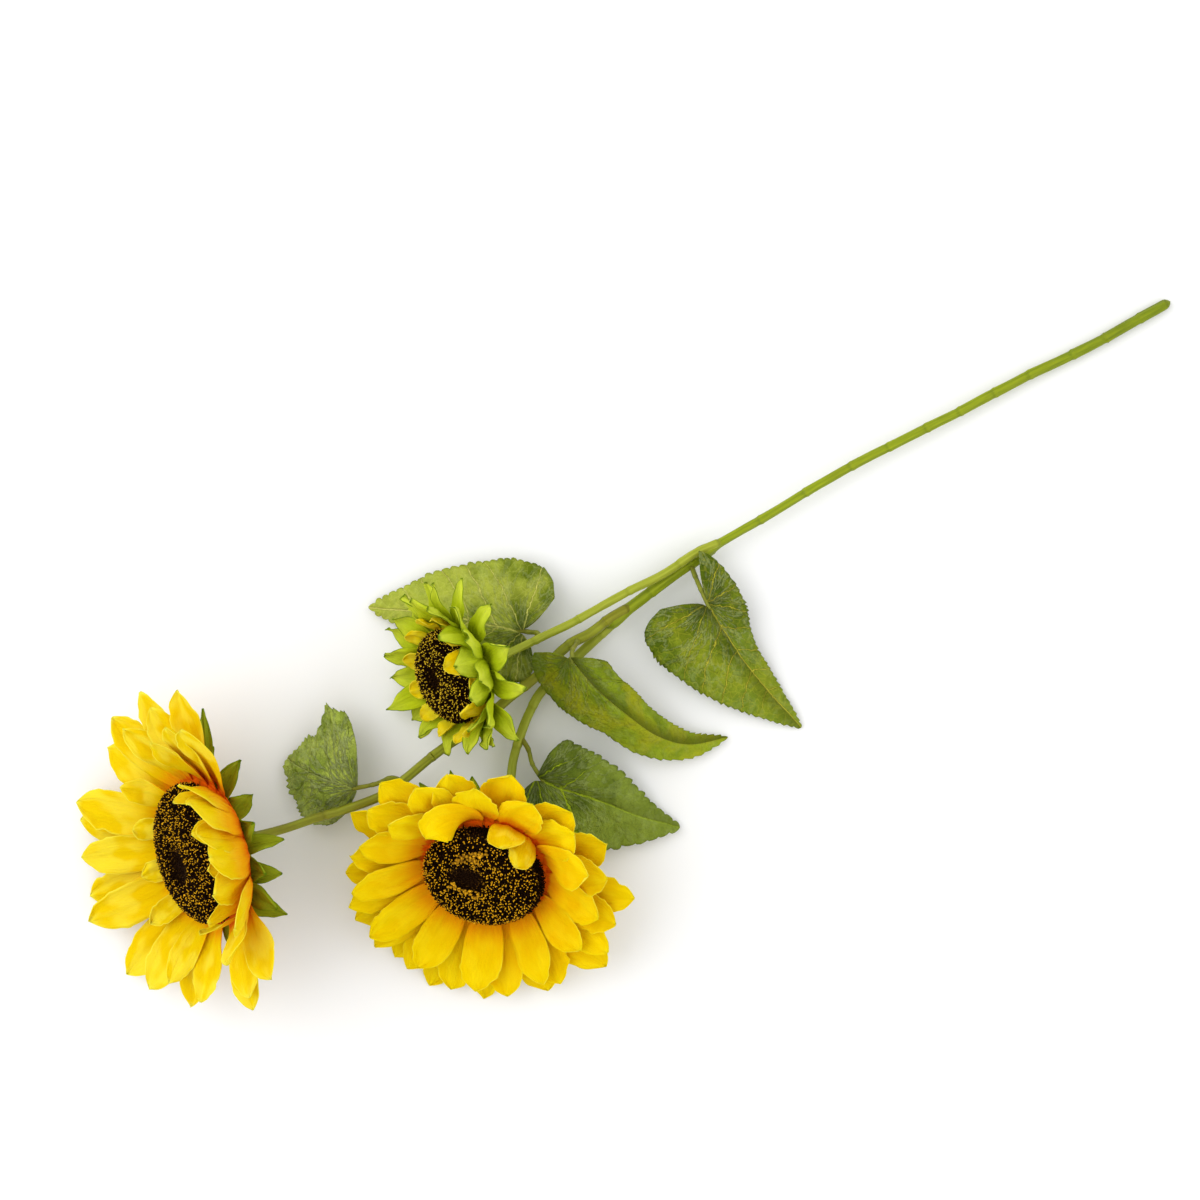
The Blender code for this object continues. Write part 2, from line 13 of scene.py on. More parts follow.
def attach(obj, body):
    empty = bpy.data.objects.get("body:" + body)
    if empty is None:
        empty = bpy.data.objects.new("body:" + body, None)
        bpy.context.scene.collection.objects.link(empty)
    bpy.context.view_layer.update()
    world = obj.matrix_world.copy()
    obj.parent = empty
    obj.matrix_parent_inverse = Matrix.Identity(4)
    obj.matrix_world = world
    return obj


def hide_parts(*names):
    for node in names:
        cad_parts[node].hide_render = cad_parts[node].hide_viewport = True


bl_info = {
    "name": "Cut Sunflower Spray",
    "version": (1, 0, 0),
    "blender": (4, 5, 0),
    "location": "3D View > Sidebar > Sunflower",
    "description": "Builds an artificial sunflower spray lying on a pale floor",
    "category": "Add Mesh",
}

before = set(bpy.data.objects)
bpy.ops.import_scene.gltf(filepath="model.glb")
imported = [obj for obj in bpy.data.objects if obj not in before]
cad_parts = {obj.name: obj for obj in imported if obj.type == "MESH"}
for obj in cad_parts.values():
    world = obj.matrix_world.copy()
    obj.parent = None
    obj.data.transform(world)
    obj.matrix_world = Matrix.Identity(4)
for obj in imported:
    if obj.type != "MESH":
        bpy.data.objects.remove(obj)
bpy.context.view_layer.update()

MM = 0.001                 # shape values below are in millimetres
FULL_TURN = 2 * math.pi
ANY_WAY = 6.28             # upper end of a random direction, radians
SPRAY_CENTRE = np.array([12.1, 4.05, -0.04])
LAYER_PITCH = 0.85         # distance between two stacked petal or sepal layers
LAYER_STEP = 0.95          # growth of the base radius from one layer to the next
LIES_AT = 0.25             # lowest that the middle of any cloth may lie above the floor
SPRING, SPRING_RUN = 0.6, 0.04   # share of its lean that a blade gains, and over what run
TUCK = (7.0, 2.0)          # how far the root of a blade runs in under the disc, in two steps
DOMED = 2.2                # depth of a seed disc's dimple
BRISTLE_ROOM = 1.2         # how far the disc lies inside the outline of its bristles
RING_PITCH = 0.9           # distance between rings of bristles, as a share of their spacing
SPLAY = 0.2                # random lean of a bristle
WALL_OUT, WALL_UP = 0.25, 0.55     # turns bristles on the disc's side wall out and up
WALL_SHADE = 0.85          # how much gold the shaded side of that wall loses
DIMPLE_SHORT, DIMPLE_GOLD = 0.55, 0.20   # bristles in the dimple are shorter and olive
TUFT_REACH, TUFT_THICK, TUFT_LEAN, TUFT_RISE = 1.5, 0.95, 1.7, 0.7   # matted bristles
WASHER_SIDES, DISC_SIDES, CUP_SIDES = 48, 56, 72   # points round each of them
CUP_ROWS = 44              # points from the top of a cup to its neck
STEM_STEP = 1.1            # distance between two rows of points along a stem
RING_ROWS = np.array([-1.2, -0.5, 0, 0.5, 1.2])   # extra rows beside each ring
BEND, BEND_SIZE = 0.30, 26.0                      # height and size of a stem's soft bends
FLARE_RUN = 14             # length over which a stem flares at its far end

# Height, place and width of a ring on a stem, of the groove after it and of the dark band
# in that groove; the first two heights are shares of the setting.
RING, GROOVE, DARK_BAND = (0.8, 0.0, 0.9), (-0.4, 1.8, 1.0), (-0.38, 1.5, 0.9)
SWELLING = (0.6, 6.0)      # height and length of the swelling before a ring

LEAF_COLUMNS = 20          # points from a leaf's midrib to its edge
NOTCH_END = 0.055          # where the notch at a leaf's hub closes, as a share of its length
SLOPE_AT = (0, 0.45, 1)    # stations of the three slopes of a half leaf
LOBE_RISE = 0.3            # how much a lobe follows the midrib's slope
WAVES = ((1.0, 19.0), (0.45, 6.5), (0.22, 2.8))   # shares and sizes of a leaf's waves
RIM_WAVE, RIM_SIZE = 0.6, 7.0                     # height and size of waves at a leaf's rim

# Each text is one die-cut layer, named after its CAD piece, with commas between its petals
# or sepals. Each of them: azimuth in degrees round the head (90 is uphill), length, width,
# lean out of the petal plane at its base and, unless they are 0, change of lean to the tip
# and sideways bend.
BLADES = {
    "head_a_petals_inner": """
        28 27 12 72 20, 52 34 16 58 20 16, 78 30 15 60 24 26, 104 30 16 60 28 24,
        130 34 16 58 34 20, 158 40 15 46 8, 184 44 16 37, 222 30 13 46 4, 250 22 12 50,
        276 22 12 50, 301 28 12 48, 328 42 15 38""",
    "head_a_petals_middle": """
        16 42 20 16 -4, 43 45 20 38 10, 70 44 20 47 18 22, 96 44 20 50 18 28,
        122 46 19 46 16 22, 148 47 19 34 4, 171 45 19 27, 203 51 22 28, 242 57 23 38,
        265 57 21 40, 287 62 21 38, 317 56 22 30 -4, 344 44 20 22 -4""",
    "head_a_petals_outer": """
        10 46 20 8 -4, 35 46 21 12, 60 46 21 36 16 10, 86 47 22 42 18 24, 111 49 22 42 16 26,
        137 50 21 26 10 6, 161 51 19 14 -4, 184 51 20 16, 224 50 21 22, 253 60 22 30,
        277 62 21 31, 303 65 22 25, 332 52 20 14""",
    "head_a_sepals_1": """
        20 26 12 -14 -6, 48 24 13 -12 -4, 76 18 14 -8 10, 104 18 14 -8 14, 134 26 12 -12 -6,
        161 43 8 -10 0 14, 198 28 12 -14, 230 28 12 -14, 262 28 12 -14, 294 28 12 -14,
        326 28 12 -14, 354 28 11 -14""",
    "head_a_sepals_2": """
        8 26 12 -34 -8, 36 27 12 -36 -8, 63 22 12 -36, 90 24 10 -36 -8, 118 19 13 -30 4,
        150 24 11 -36, 182 26 10 -34 6, 214 24 12 -36, 246 24 12 -36, 278 24 12 -36,
        310 24 12 -36, 340 24 11 -36""",
    "head_b_petals_inner": """
        8 36 18 36 -6 -10, 36 41 19 44 -8 -6, 59 22 13 78 50, 82 21 17 60 46 30,
        113 34 18 50 -30 150, 148 34 18 38 -6 10, 173 38 17 32 -6, 198 42 17 33, 227 44 18 35,
        251 40 18 36, 283 42 19 36 -4, 313 41 18 36, 340 36 16 38""",
    "head_b_petals_middle": """
        0 42 19 22 -4, 26 38 21 26 -4, 51 35 21 34 -16, 78 34 21 36 -20, 105 34 21 34 -20,
        132 37 20 26 -10, 158 40 20 20, 184 40 19 23, 209 45 18 25, 231 46 17 25, 250 45 17 25,
        270 46 18 26, 294 45 20 26, 320 44 19 26, 345 46 17 24""",
    "head_b_petals_outer": """
        9 46 21 10, 36 38 22 16 -6, 63 35 22 22 -20, 92 37 22 22 -20, 119 34 21 20 -14,
        150 42 20 6, 171 43 18 10, 196 41 18 16, 222 46 18 18, 241 46 17 18, 260 50 17 18,
        280 50 18 18, 307 47 22 18, 336 50 22 16""",
    "head_b_sepals_1": """
        10 30 12 -8 -6, 38 28 12 -10 -6, 66 24 12 -10 -6, 94 24 12 -10 -6, 116 28 12 -10 -4,
        141 33 12 -10 -4, 168 28 12 -8, 196 24 12 -6, 226 22 12 -6, 256 22 12 -6, 286 22 12 -6,
        316 22 12 -6, 344 24 12 -6""",
    "head_b_sepals_2": """
        24 26 12 -30 6, 52 24 12 -32 6, 80 24 12 -34 6, 105 26 12 -32 6, 128 33 12 -30 6,
        155 30 12 -28 6, 184 20 11 -22 16, 214 16 11 -20 16, 246 14 11 -20 16,
        278 14 11 -20 16, 310 16 11 -20 16, 342 20 11 -22 16""",
    "head_c_petals": """
        20 18 8 64 16, 47 22 11 72 30, 75 15 9 70 20, 103 24 11 74 34, 130 18 9 68 20,
        158 14 8 58, 188 13 8 54, 216 13 8 54, 243 13 9 54, 270 13 9 54, 297 14 9 54,
        324 14 9 54, 351 15 8 58""",
    "head_c_sepals_1": """
        10 22 14 50 6, 38 26 16 54 24, 66 24 16 56 26, 94 26 16 56 30, 122 27 16 54 26,
        150 24 14 48 10, 180 22 12 40, 212 22 12 36, 242 24 12 34, 272 32 12 32, 302 22 12 36,
        334 20 12 44""",
    "head_c_sepals_2": """
        24 22 14 34 4, 52 26 15 38 14, 80 27 15 40 16, 108 28 15 38 12, 136 26 13 30,
        165 24 12 22 -4, 196 24 12 20, 226 26 12 18, 256 26 12 18, 286 24 12 20, 316 18 12 26,
        350 16 12 30""",
    "head_c_sepals_3": """
        8 14 12 8 -10, 40 24 13 10 -14, 68 26 14 12 -14, 94 26 14 10 -14, 122 26 12 4 -14,
        150 24 11 -4 -14, 180 22 10 0 -8, 212 20 10 2, 244 20 10 2, 276 20 10 2, 308 14 10 6,
        338 12 10 6""",
}

# Head: centre, the way it faces and its tilt from straight up, radii of its petals' base and
# of the washer's hole, layers, where the sepals start, the disc, the cup behind it, how the
# petals roll, place and size of the dimple, matted tufts, and share and size of gold tips.
HEADS = {
    "a": dict(centre=(-267.5, 30.4, 59.8), azimuth=165, tilt=55, base=39.5, hole=6.0,
              petals=("petals_inner", "petals_middle", "petals_outer"),
              sepals=("sepals_1", "sepals_2"), sepal_base=33.5, sepal_step=-3.0, disc=37.0,
              edge=12.0, height=17.0, cup=28.5, depth=27.0, neck=4.2, roll=26,
              dimple=(4.0, -7.0, 10.0), tufts=(), gold=0.31, grain=1.04, wide=1.0),
    "b": dict(centre=(-146.0, -50.3, 38.8), azimuth=225, tilt=37, base=34.0, hole=6.0,
              petals=("petals_inner", "petals_middle", "petals_outer"),
              sepals=("sepals_1", "sepals_2"), sepal_base=28.0, sepal_step=-3.0, disc=32.0,
              edge=10.5, height=15.0, cup=23.0, depth=20.0, neck=3.8, roll=12,
              dimple=(-8.5, 1.5, 10.0), gold=0.46, grain=1.18, wide=1.12,
              tufts=(((-16.0, 13.5), (-9.4, 20.0), (-2.6, 23.7)),
                     ((-9.4, 20.0), (-5.0, 16.5)),
                     ((-15.1, -4.5), (-7.5, -7.1), (-0.6, -6.7)))),
    "c": dict(centre=(-108.7, 48.4, 44.0), azimuth=171, tilt=54, base=27.0, hole=5.0,
              petals=("petals",), sepals=("sepals_1", "sepals_2", "sepals_3"),
              sepal_base=27.95, sepal_step=LAYER_STEP, disc=25.0, edge=9.5, height=13.5,
              cup=19.0, depth=20.0, neck=3.4, roll=0, dimple=(-2.0, -4.0, 6.0),
              tufts=(), gold=0.40, grain=0.98, wide=1.15),
}

# Stems from the cut end outward: route, the head that one runs into, radii at its ends,
# flare at its far end, ring and rib height as shares of the settings, length that is darker
# from the start, finish, and where its rings are as shares of its length. The
# first point of a branch lies inside its parent.
STEMS = {
    "main_stem": dict(
        route=[(327, 37.4, 3.2), (315, 37.4, 3.5), (291.6, 37.2, 3.9), (242, 39.6, 4.8),
               (190.4, 41, 7), (141.3, 43.1, 8.5), (80.7, 42.2, 10.5), (37.3, 41.4, 12.4)],
        radii=(2.8, 2.3), flare=1.8, rings=1.0, darker_run=110, finish="green",
        knuckles=(0.055, 0.13, 0.20, 0.29, 0.365, 0.44, 0.51, 0.59, 0.67, 0.77, 0.87)),
    "fork_stem": dict(
        route=[(44, 40.6, 10.6), (36.6, 39.9, 9.9), (20, 38.0, 10), (4.4, 36.4, 11),
               (-8.4, 34.8, 12), (-22.8, 33.0, 13)],
        radii=(2.9, 3.1), flare=1.3, rings=1.0, ribs=1.3, finish="green",
        knuckles=(0.20, 0.60)),
    "stem_a": dict(
        route=[(-13, 34.6, 13.6), (-23.2, 34.3, 15.9), (-36.3, 32.8, 17), (-47.9, 33.1, 18),
               (-71.9, 26.6, 18.5), (-92.4, 23.2, 18.5), (-114.7, 18.4, 18.5),
               (-137, 16.7, 21), (-164.8, 11.9, 27), (-177, 10.8, 29), (-197.4, 13.6, 30),
               (-216.7, 17.9, 31), (-231, 20.5, 34)],
        head="a", radii=(2.8, 2.4), flare=0.4, rings=0.8, finish="olive",
        knuckles=(0.055, 0.15, 0.29, 0.42, 0.55, 0.69, 0.82)),
    "stem_b": dict(
        route=[(-13, 33.6, 12.0), (-23.2, 31.3, 10.1), (-39.4, 27.6, 9.5),
               (-50.3, 25.0, 9.5), (-68.4, 20, 10), (-77.8, 16.5, 10.5), (-87.6, 10, 11),
               (-95.9, 2.9, 12), (-106.6, -7.4, 13), (-114.1, -17.6, 13.5),
               (-122, -26, 13), (-129.5, -33, 14.5)],
        head="b", radii=(2.8, 2.3), flare=0.4, rings=0.7, finish="lime",
        knuckles=(0.12, 0.30, 0.47, 0.62, 0.80)),
    "stem_c": dict(
        route=[(48, 42.0, 13.4), (36.6, 42.9, 15.6), (12.6, 41.8, 17), (-7.4, 42.3, 18.5),
               (-22.7, 42.7, 20), (-40.4, 42.5, 22), (-59.2, 43.8, 24), (-76, 44.5, 25)],
        head="c", radii=(2.3, 2.2), flare=0.4, rings=0.7, finish="lime",
        knuckles=(0.16, 0.38, 0.60, 0.78)),
}

# Leaf stalk: route from inside the stem to the leaf's hub.
STALKS = {
    "petiole_1": [(-60.5, 44, 23.6), (-61.5, 47, 20.5), (-65, 49.5, 18.2), (-71, 54, 18.0)],
    "petiole_2": [(-164, 12.5, 27), (-167, 16, 29.5), (-176, 17.6, 31), (-188, 21.5, 33)],
    "petiole_3": [(-44, 32.8, 18), (-45.5, 31.5, 27), (-49, 29.5, 35), (-52, 24, 43.4)],
    "petiole_4": [(30, 38.5, 10), (29, 33, 14), (28, 26, 20), (27, 13, 23.2)],
    "petiole_5": [(-97, 2, 12.2), (-96.4, -6, 15), (-98, -14, 21), (-97, -25, 26)],
}
STALK_SHAPE = dict(radii=(1.35, 1.0), flare=0.25, rings=0.6, finish="stalk",
                   knuckles=(0.3, 0.62), sides=12)

# Outlines, as stations from root to tip and half widths there.
PETAL_OUTLINE = ((0.0, 0.12, 0.30, 0.50, 0.68, 0.82, 0.91, 0.965, 1.0),
                 (0.62, 0.82, 1.0, 1.05, 1.02, 0.83, 0.55, 0.27, 0.03))
SEPAL_OUTLINE = ((0.0, 0.20, 0.40, 0.60, 0.78, 0.90, 1.0),
                 (0.75, 0.98, 1.0, 0.86, 0.55, 0.27, 0.04))
LEAF_S = (-0.20, -0.17, -0.12, -0.04, 0.06, 0.18, 0.33, 0.50, 0.66, 0.80, 0.91, 1.0)
LEAF_OUTER = (0.60, 0.77, 0.90, 0.98, 1.0, 0.98, 0.86, 0.68, 0.48, 0.29, 0.14, 0.01)
LEAF_STEPPED = (0.60, 0.77, 0.90, 0.98, 1.0, 1.0, 0.98, 0.54, 0.44, 0.29, 0.14, 0.01)
LEAF_INNER = (0.57, 0.46, 0.28, 0.09, 0.0, 0.0, 0.0, 0.0, 0.0, 0.0, 0.0, 0.0)
LEAF_DROOP = 5.0           # extra slope from a leaf's midrib to its edge, degrees
WELD_REACH = 0.00002       # joins the two halves of a leaf at the midrib, metres
VEIN_RAYS = (1.62, 2.30)   # directions of the veins that run back from the hub, radians

# Outline of one tooth: stations along it and how far it reaches out.
SHARP = ((0.0, 0.34, 0.68, 0.90), (0.0, 0.55, 1.0, 0.35))
ROUND = ((0.0, 0.22, 0.50, 0.78), (0.0, 0.75, 1.0, 0.75))

# Leaf: midrib route, then for its two halves the width, the slopes at hub, middle and tip,
# the length of the lobe, the sweep toward the tip and, unless both are plain, the outlines;
# then teeth per side, their depth and outline, and how far the blade is crumpled.
LEAVES = {
    "leaf_1": dict(
        route=[(-68, 51, 20), (-86, 67, 15), (-103, 82, 11), (-121, 94, 7), (-136, 104, 3)],
        widths=(28, 38), slopes=((-6, -10, -10), (-4, -6, -8)), lobes=(0.6, 0.8),
        sweep=(0, 4), teeth=27, depth=1.4, tooth=ROUND,
        waves=1.4),
    "leaf_2": dict(
        route=[(-186, 20, 34), (-195, 29, 33), (-203, 38, 28), (-210, 46, 18),
               (-215, 53, 5)],
        widths=(36, 42), slopes=((-34, -20, -10), (-6, -10, -10)), lobes=(0.3, 0.3),
        sweep=(27, 27), outlines=(LEAF_OUTER, LEAF_STEPPED), teeth=19, depth=1.9,
        tooth=SHARP, waves=2.0),
    "leaf_3": dict(
        route=[(-52, 27, 44), (-48, 7, 47), (-40, -15, 41), (-31, -34, 27), (-18, -47, 12),
               (2, -54, 3)],
        widths=(27, 32), slopes=((-44, -44, -4), (-42, -46, -20)), lobes=(0.05, 0.7),
        sweep=(40, 0), teeth=30, depth=1.1, tooth=SHARP,
        waves=1.6),
    "leaf_4": dict(
        route=[(27, 16, 24), (27.6, 1, 25), (29, -17, 20), (33, -40, 12), (40, -69, 2)],
        widths=(20, 40), slopes=((-16, -44, -20), (-8, -12, -10)), lobes=(1.5, 0.6),
        sweep=(0, 0), teeth=31, depth=1.2, tooth=SHARP,
        waves=1.8),
    "leaf_5": dict(
        route=[(-99.5, -21.5, 27), (-91.5, -32, 27), (-76, -49, 22), (-62, -67, 12),
               (-45, -84.5, 4)],
        widths=(26, 42), slopes=((-8, -10, -10), (-8, -8, -10)), lobes=(0.15, 0.5),
        sweep=(14, 4), teeth=19, depth=1.5, tooth=ROUND,
        waves=1.8),
}

# How the colours run along a blade: where the root and base colours end, the width and share
# of the edge colour, and the share of the paler patches, which are painted sheen.
# The middle head's long orange base is partly the cloth's own colour and partly painted shade
# where its petals overlap.
FACE_MARKS = {"a": (0.06, 0.30, 0.04, 0.85, 0.40), "b": (0.07, 0.42, 0.04, 0.50, 0.25),
              "c": (0.05, 0.15, 0.05, 0.70, 0.30)}
BACK_MARKS = {"a": (0.34, 0.80, 0.05, 0.50, 0.10), "b": (0.08, 0.30, 0.05, 0.40, 0.30),
              "c": (0.03, 0.06, 0.05, 0.40, 0.30)}
SEPAL_MARKS = (0.10, 0.40, 0.05, 0.90, 0.15)
PETAL_FACE = dict(roughness=0.70, grain=0.12, pleat=0.16, depth=0.0009, glow=0.6)
PETAL_BACK = dict(roughness=0.72, grain=0.12, pleat=0.26, depth=0.0012, glow=0.6)
SEPAL_CLOTH = dict(roughness=0.70, grain=0.24, pleat=0.40, depth=0.0012, glow=0.5)

# Colours that are no setting. Sepals: root, middle and tip; plastic: groove, rib and share
# of brown stain.
YOUNG_ROOT, YOUNG_MIDDLE = (0.40, 0.26, 0.003), (0.80, 0.67, 0.012)
DEEP_TIP, DEEP_EDGE = (0.82, 0.60, 0.001), (0.90, 0.72, 0.010)
SEPALS_A = ((0.22, 0.20, 0.006), (0.24, 0.27, 0.008), (0.30, 0.36, 0.015))
SEPALS_B = ((0.26, 0.33, 0.006), (0.34, 0.42, 0.010), (0.36, 0.46, 0.020))
OLIVE = ((0.17, 0.19, 0.005), (0.38, 0.41, 0.025), 0.35)
LIME = ((0.24, 0.28, 0.008), (0.46, 0.50, 0.05), 0.06)
CUP_GREEN = ((0.10, 0.15, 0.006), (0.27, 0.34, 0.03), 0.35)
STALK_GREEN = ((0.13, 0.15, 0.008), (0.34, 0.36, 0.035), 0.45)
# Leaves: painted highlight on the creases, painted shade in the crinkle valleys, and painted
# shadow beside the fold.
LEAF_CREASE_HIGHLIGHT, LEAF_VALLEY_SHADE = (0.38, 0.44, 0.18), (0.05, 0.075, 0.004)
LEAF_SHADOW = (0.035, 0.045, 0.003)

# The stage, in metres. Lights: place, width and power in watts.
FLOOR_REACH, FLOOR_GAP = 3.0, 0.0004
LIGHTS = {"key": ((-0.9, 0.9, 1.6), 1.8, 17.0), "fill": ((1.2, -0.6, 1.3), 1.6, 5.0)}
SKY_STRENGTH = 0.93
SENSOR = 36.0              # width of the camera's sensor
VIEW_CENTRE = np.array([-22.8, 45.9, 0.0])   # middle of the view, from the spray's centre
VIEW_TURN = -29            # degrees

# Leaf cloth: dark, light, mottled and vein colours, or the settings that give them; shares of
# mottling, net, pale creases (painted highlight, with painted shade in the crinkles) and main
# veins; how far the veins reach and how wide they are, lightening toward the tip, painted
# shadow beside the fold, and depth of the relief in metres.
LEAF_LOOKS = {
    "leaf_1": dict(
        colours=((0.115, 0.16, 0.006), (0.37, 0.43, 0.050), (0.44, 0.48, 0.06),
                 (0.60, 0.60, 0.13)),
        mottled=0.70, net=0.35, pale=0.35, veined=0.95, reach=0.60, width=0.0050, grade=0.8,
        fold=0.0, relief=0.0009),
    "leaf_2": dict(
        colours=((0.24, 0.32, 0.035), (0.46, 0.56, 0.09), (0.50, 0.58, 0.13),
                 (0.54, 0.62, 0.17)),
        mottled=0.40, net=0.15, pale=0.9, veined=0.50, reach=0.40, width=0.0050, grade=-0.2,
        fold=0.0, relief=0.0026),
    "leaf_3": dict(
        colours=((0.16, 0.225, 0.009), (0.26, 0.34, 0.017), (0.38, 0.37, 0.013), "vein"),
        mottled=0.65, net=0.15, pale=0.30, veined=0.40, reach=0.30, width=0.0034, grade=0.2,
        fold=0.70, relief=0.0012),
    "leaf_4": dict(
        colours=("dark", "light", "mottle", "vein"),
        mottled=0.55, net=0.45, pale=0.50, veined=0.90, reach=0.55, width=0.0044, grade=0.6,
        fold=-0.45, relief=0.0014),
    "leaf_5": dict(
        colours=((0.080, 0.12, 0.010), (0.19, 0.25, 0.028), (0.27, 0.34, 0.05),
                 (0.38, 0.50, 0.02)),
        mottled=0.45, net=0.06, pale=0.42, veined=0.95, reach=0.24, width=0.0060, grade=0.4,
        fold=0.35, relief=0.0015),
}


# ---------------------------------------------------------------- curves and noise
def curve_through(stations, values, at):
    """Smooth curve through values given at rising stations."""
    x = np.array(stations, float)
    y = np.array(values, float)
    at = np.clip(np.atleast_1d(at), x[0], x[-1])
    slope = np.gradient(y, x, axis=0)
    i = np.clip(np.searchsorted(x, at, side="right") - 1, 0, len(x) - 2)
    h = x[i + 1] - x[i]
    u = (at - x[i]) / h
    if y.ndim > 1:
        h = h[:, None]
        u = u[:, None]
    return ((2 * u ** 3 - 3 * u ** 2 + 1) * y[i] + (u ** 3 - 2 * u ** 2 + u) * slope[i] * h
            + (3 * u ** 2 - 2 * u ** 3) * y[i + 1] + (u ** 3 - u ** 2) * slope[i + 1] * h)


def route_curve(points):
    """Arc-length stations of a route and its points."""
    points = np.array(points, float)
    steps = np.linalg.norm(np.diff(points, axis=0), axis=1)
    return np.concatenate([[0.0], np.cumsum(steps)]), points


def ripple(x, y, z, size=1.0):
    """Smooth noise between about -1 and 1, for numbers and arrays that fit one another."""
    x, y, z = np.broadcast_arrays(x, y, z)
    flat = np.stack([x.ravel(), y.ravel(), z.ravel()], axis=1)
    values = [noise.noise(Vector(p) / size) for p in flat]
    return np.array(values).reshape(x.shape) * 1.6


def smoothstep(low, high, x):
    """0 below low, 1 above high, smooth between."""
    t = np.clip((x - low) / (high - low), 0.0, 1.0)
    return t * t * (3 - 2 * t)


def round_turn(count):
    """Angles of points spread evenly round a circle."""
    return np.linspace(0, FULL_TURN, count, endpoint=False)


def ring_points(radius, turns, level):
    """Points round circles in a head's own coordinates."""
    return np.stack(np.broadcast_arrays(radius * np.cos(turns), radius * np.sin(turns),
                                        level), axis=-1)


def unit(vector):
    """A vector, or each row of vectors, made one long."""
    return vector / np.linalg.norm(vector, axis=-1, keepdims=True)


# ---------------------------------------------------------------- meshes
def show(name, data):
    """Adds an object to the scene."""
    ob = bpy.data.objects.new(name, data)
    bpy.context.scene.collection.objects.link(ob)
    return ob


class Skin:
    """Collects vertices, faces, a flat map and one number per vertex for one piece."""

    def __init__(self):
        self.points, self.faces, self.flat, self.tone = [], [], [], []
        self.count = 0

    def add(self, points, faces, flat, tone):
        """Adds vertices (mm) with their flat map and tone, and faces between them."""
        self.points.append(np.asarray(points, float).reshape(-1, 3))
        self.flat.append(np.asarray(flat, float).reshape(-1, 2))
        self.tone.append(np.broadcast_to(np.asarray(tone, float), len(self.points[-1])))
        self.faces += [tuple(self.count + i for i in face) for face in faces]
        self.count += len(self.points[-1])

    def grid(self, points, flat, tone, closed=False):
        """Adds a grid of points; closed joins its last column to its first."""
        rows, columns = points.shape[:2]
        last = columns if closed else columns - 1
        faces = []
        for r in range(rows - 1):
            for c in range(last):
                d = (c + 1) % columns
                faces.append((r * columns + c, r * columns + d,
                              (r + 1) * columns + d, (r + 1) * columns + c))
        self.add(points, faces, flat, np.broadcast_to(tone, (rows, columns)).ravel())

    def build(self, name, materials, thickness=0.0):
        """Makes the object. With a thickness an open sheet becomes a closed one: the first
        material lies on its underside and the last on its face."""
        mesh = bpy.data.meshes.new(name)
        points = (np.concatenate(self.points) + SPRAY_CENTRE) * MM
        points[:, 2] = np.maximum(points[:, 2], LIES_AT * MM)
        mesh.from_pydata(points.tolist(), [], self.faces)
        corners = np.array([v for face in self.faces for v in face])
        flat = np.concatenate(self.flat)[corners]
        mesh.uv_layers.new(name="flat").data.foreach_set("uv", flat.ravel())
        tone = mesh.attributes.new("tone", "FLOAT", "POINT")
        tone.data.foreach_set("value", np.concatenate(self.tone))
        for mat in materials:
            mesh.materials.append(mat)
        if not thickness:
            face_outward(mesh)
        mesh.shade_smooth()
        ob = show(name, mesh)
        if thickness:
            shell = ob.modifiers.new("thickness", "SOLIDIFY")
            shell.thickness = thickness * MM
            shell.offset = 0.0
            shell.material_offset = len(materials) - 1
        return ob


def face_outward(mesh):
    """Turns every face of a closed mesh outward."""
    work = bmesh.new()
    work.from_mesh(mesh)
    bmesh.ops.recalc_face_normals(work, faces=work.faces)
    work.to_mesh(mesh)
    work.free()


def stand_for(ob, slot, *nodes):
    """The piece moves with the spray and shows instead of its solids; slot is not used."""
    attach(ob, "root")
    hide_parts(*nodes)


def head_axes(tag):
    """Centre, sideways, uphill and facing directions of a head."""
    head = HEADS[tag]
    a, t = math.radians(head["azimuth"]), math.radians(head["tilt"])
    face = np.array([math.cos(a) * math.sin(t), math.sin(a) * math.sin(t), math.cos(t)])
    uphill = np.array([-math.cos(a) * math.cos(t), -math.sin(a) * math.cos(t), math.sin(t)])
    return np.array(head["centre"]), np.cross(uphill, face), uphill, face


def place(tag, local):
    """Points in a head's own coordinates, moved to where the head lies."""
    centre, side, uphill, face = head_axes(tag)
    local = np.asarray(local, float)
    return centre + local[..., :1] * side + local[..., 1:2] * uphill + local[..., 2:3] * face


# ---------------------------------------------------------------- petals and sepals
PETAL_STYLE = dict(outline=PETAL_OUTLINE, across=15, along=32, cup=0.17, crease=0.75,
                   pleats=(1.3, 2.6), pleat_depth=0.55, ruffle=1.9, ragged=0.13, twist=13,
                   jitter=2.4)
SEPAL_STYLE = dict(outline=SEPAL_OUTLINE, across=9, along=20, cup=0.24, crease=0.30,
                   pleats=(1.0, 1.8), pleat_depth=0.60, ruffle=2.6, ragged=0.09, twist=28,
                   jitter=4.0)


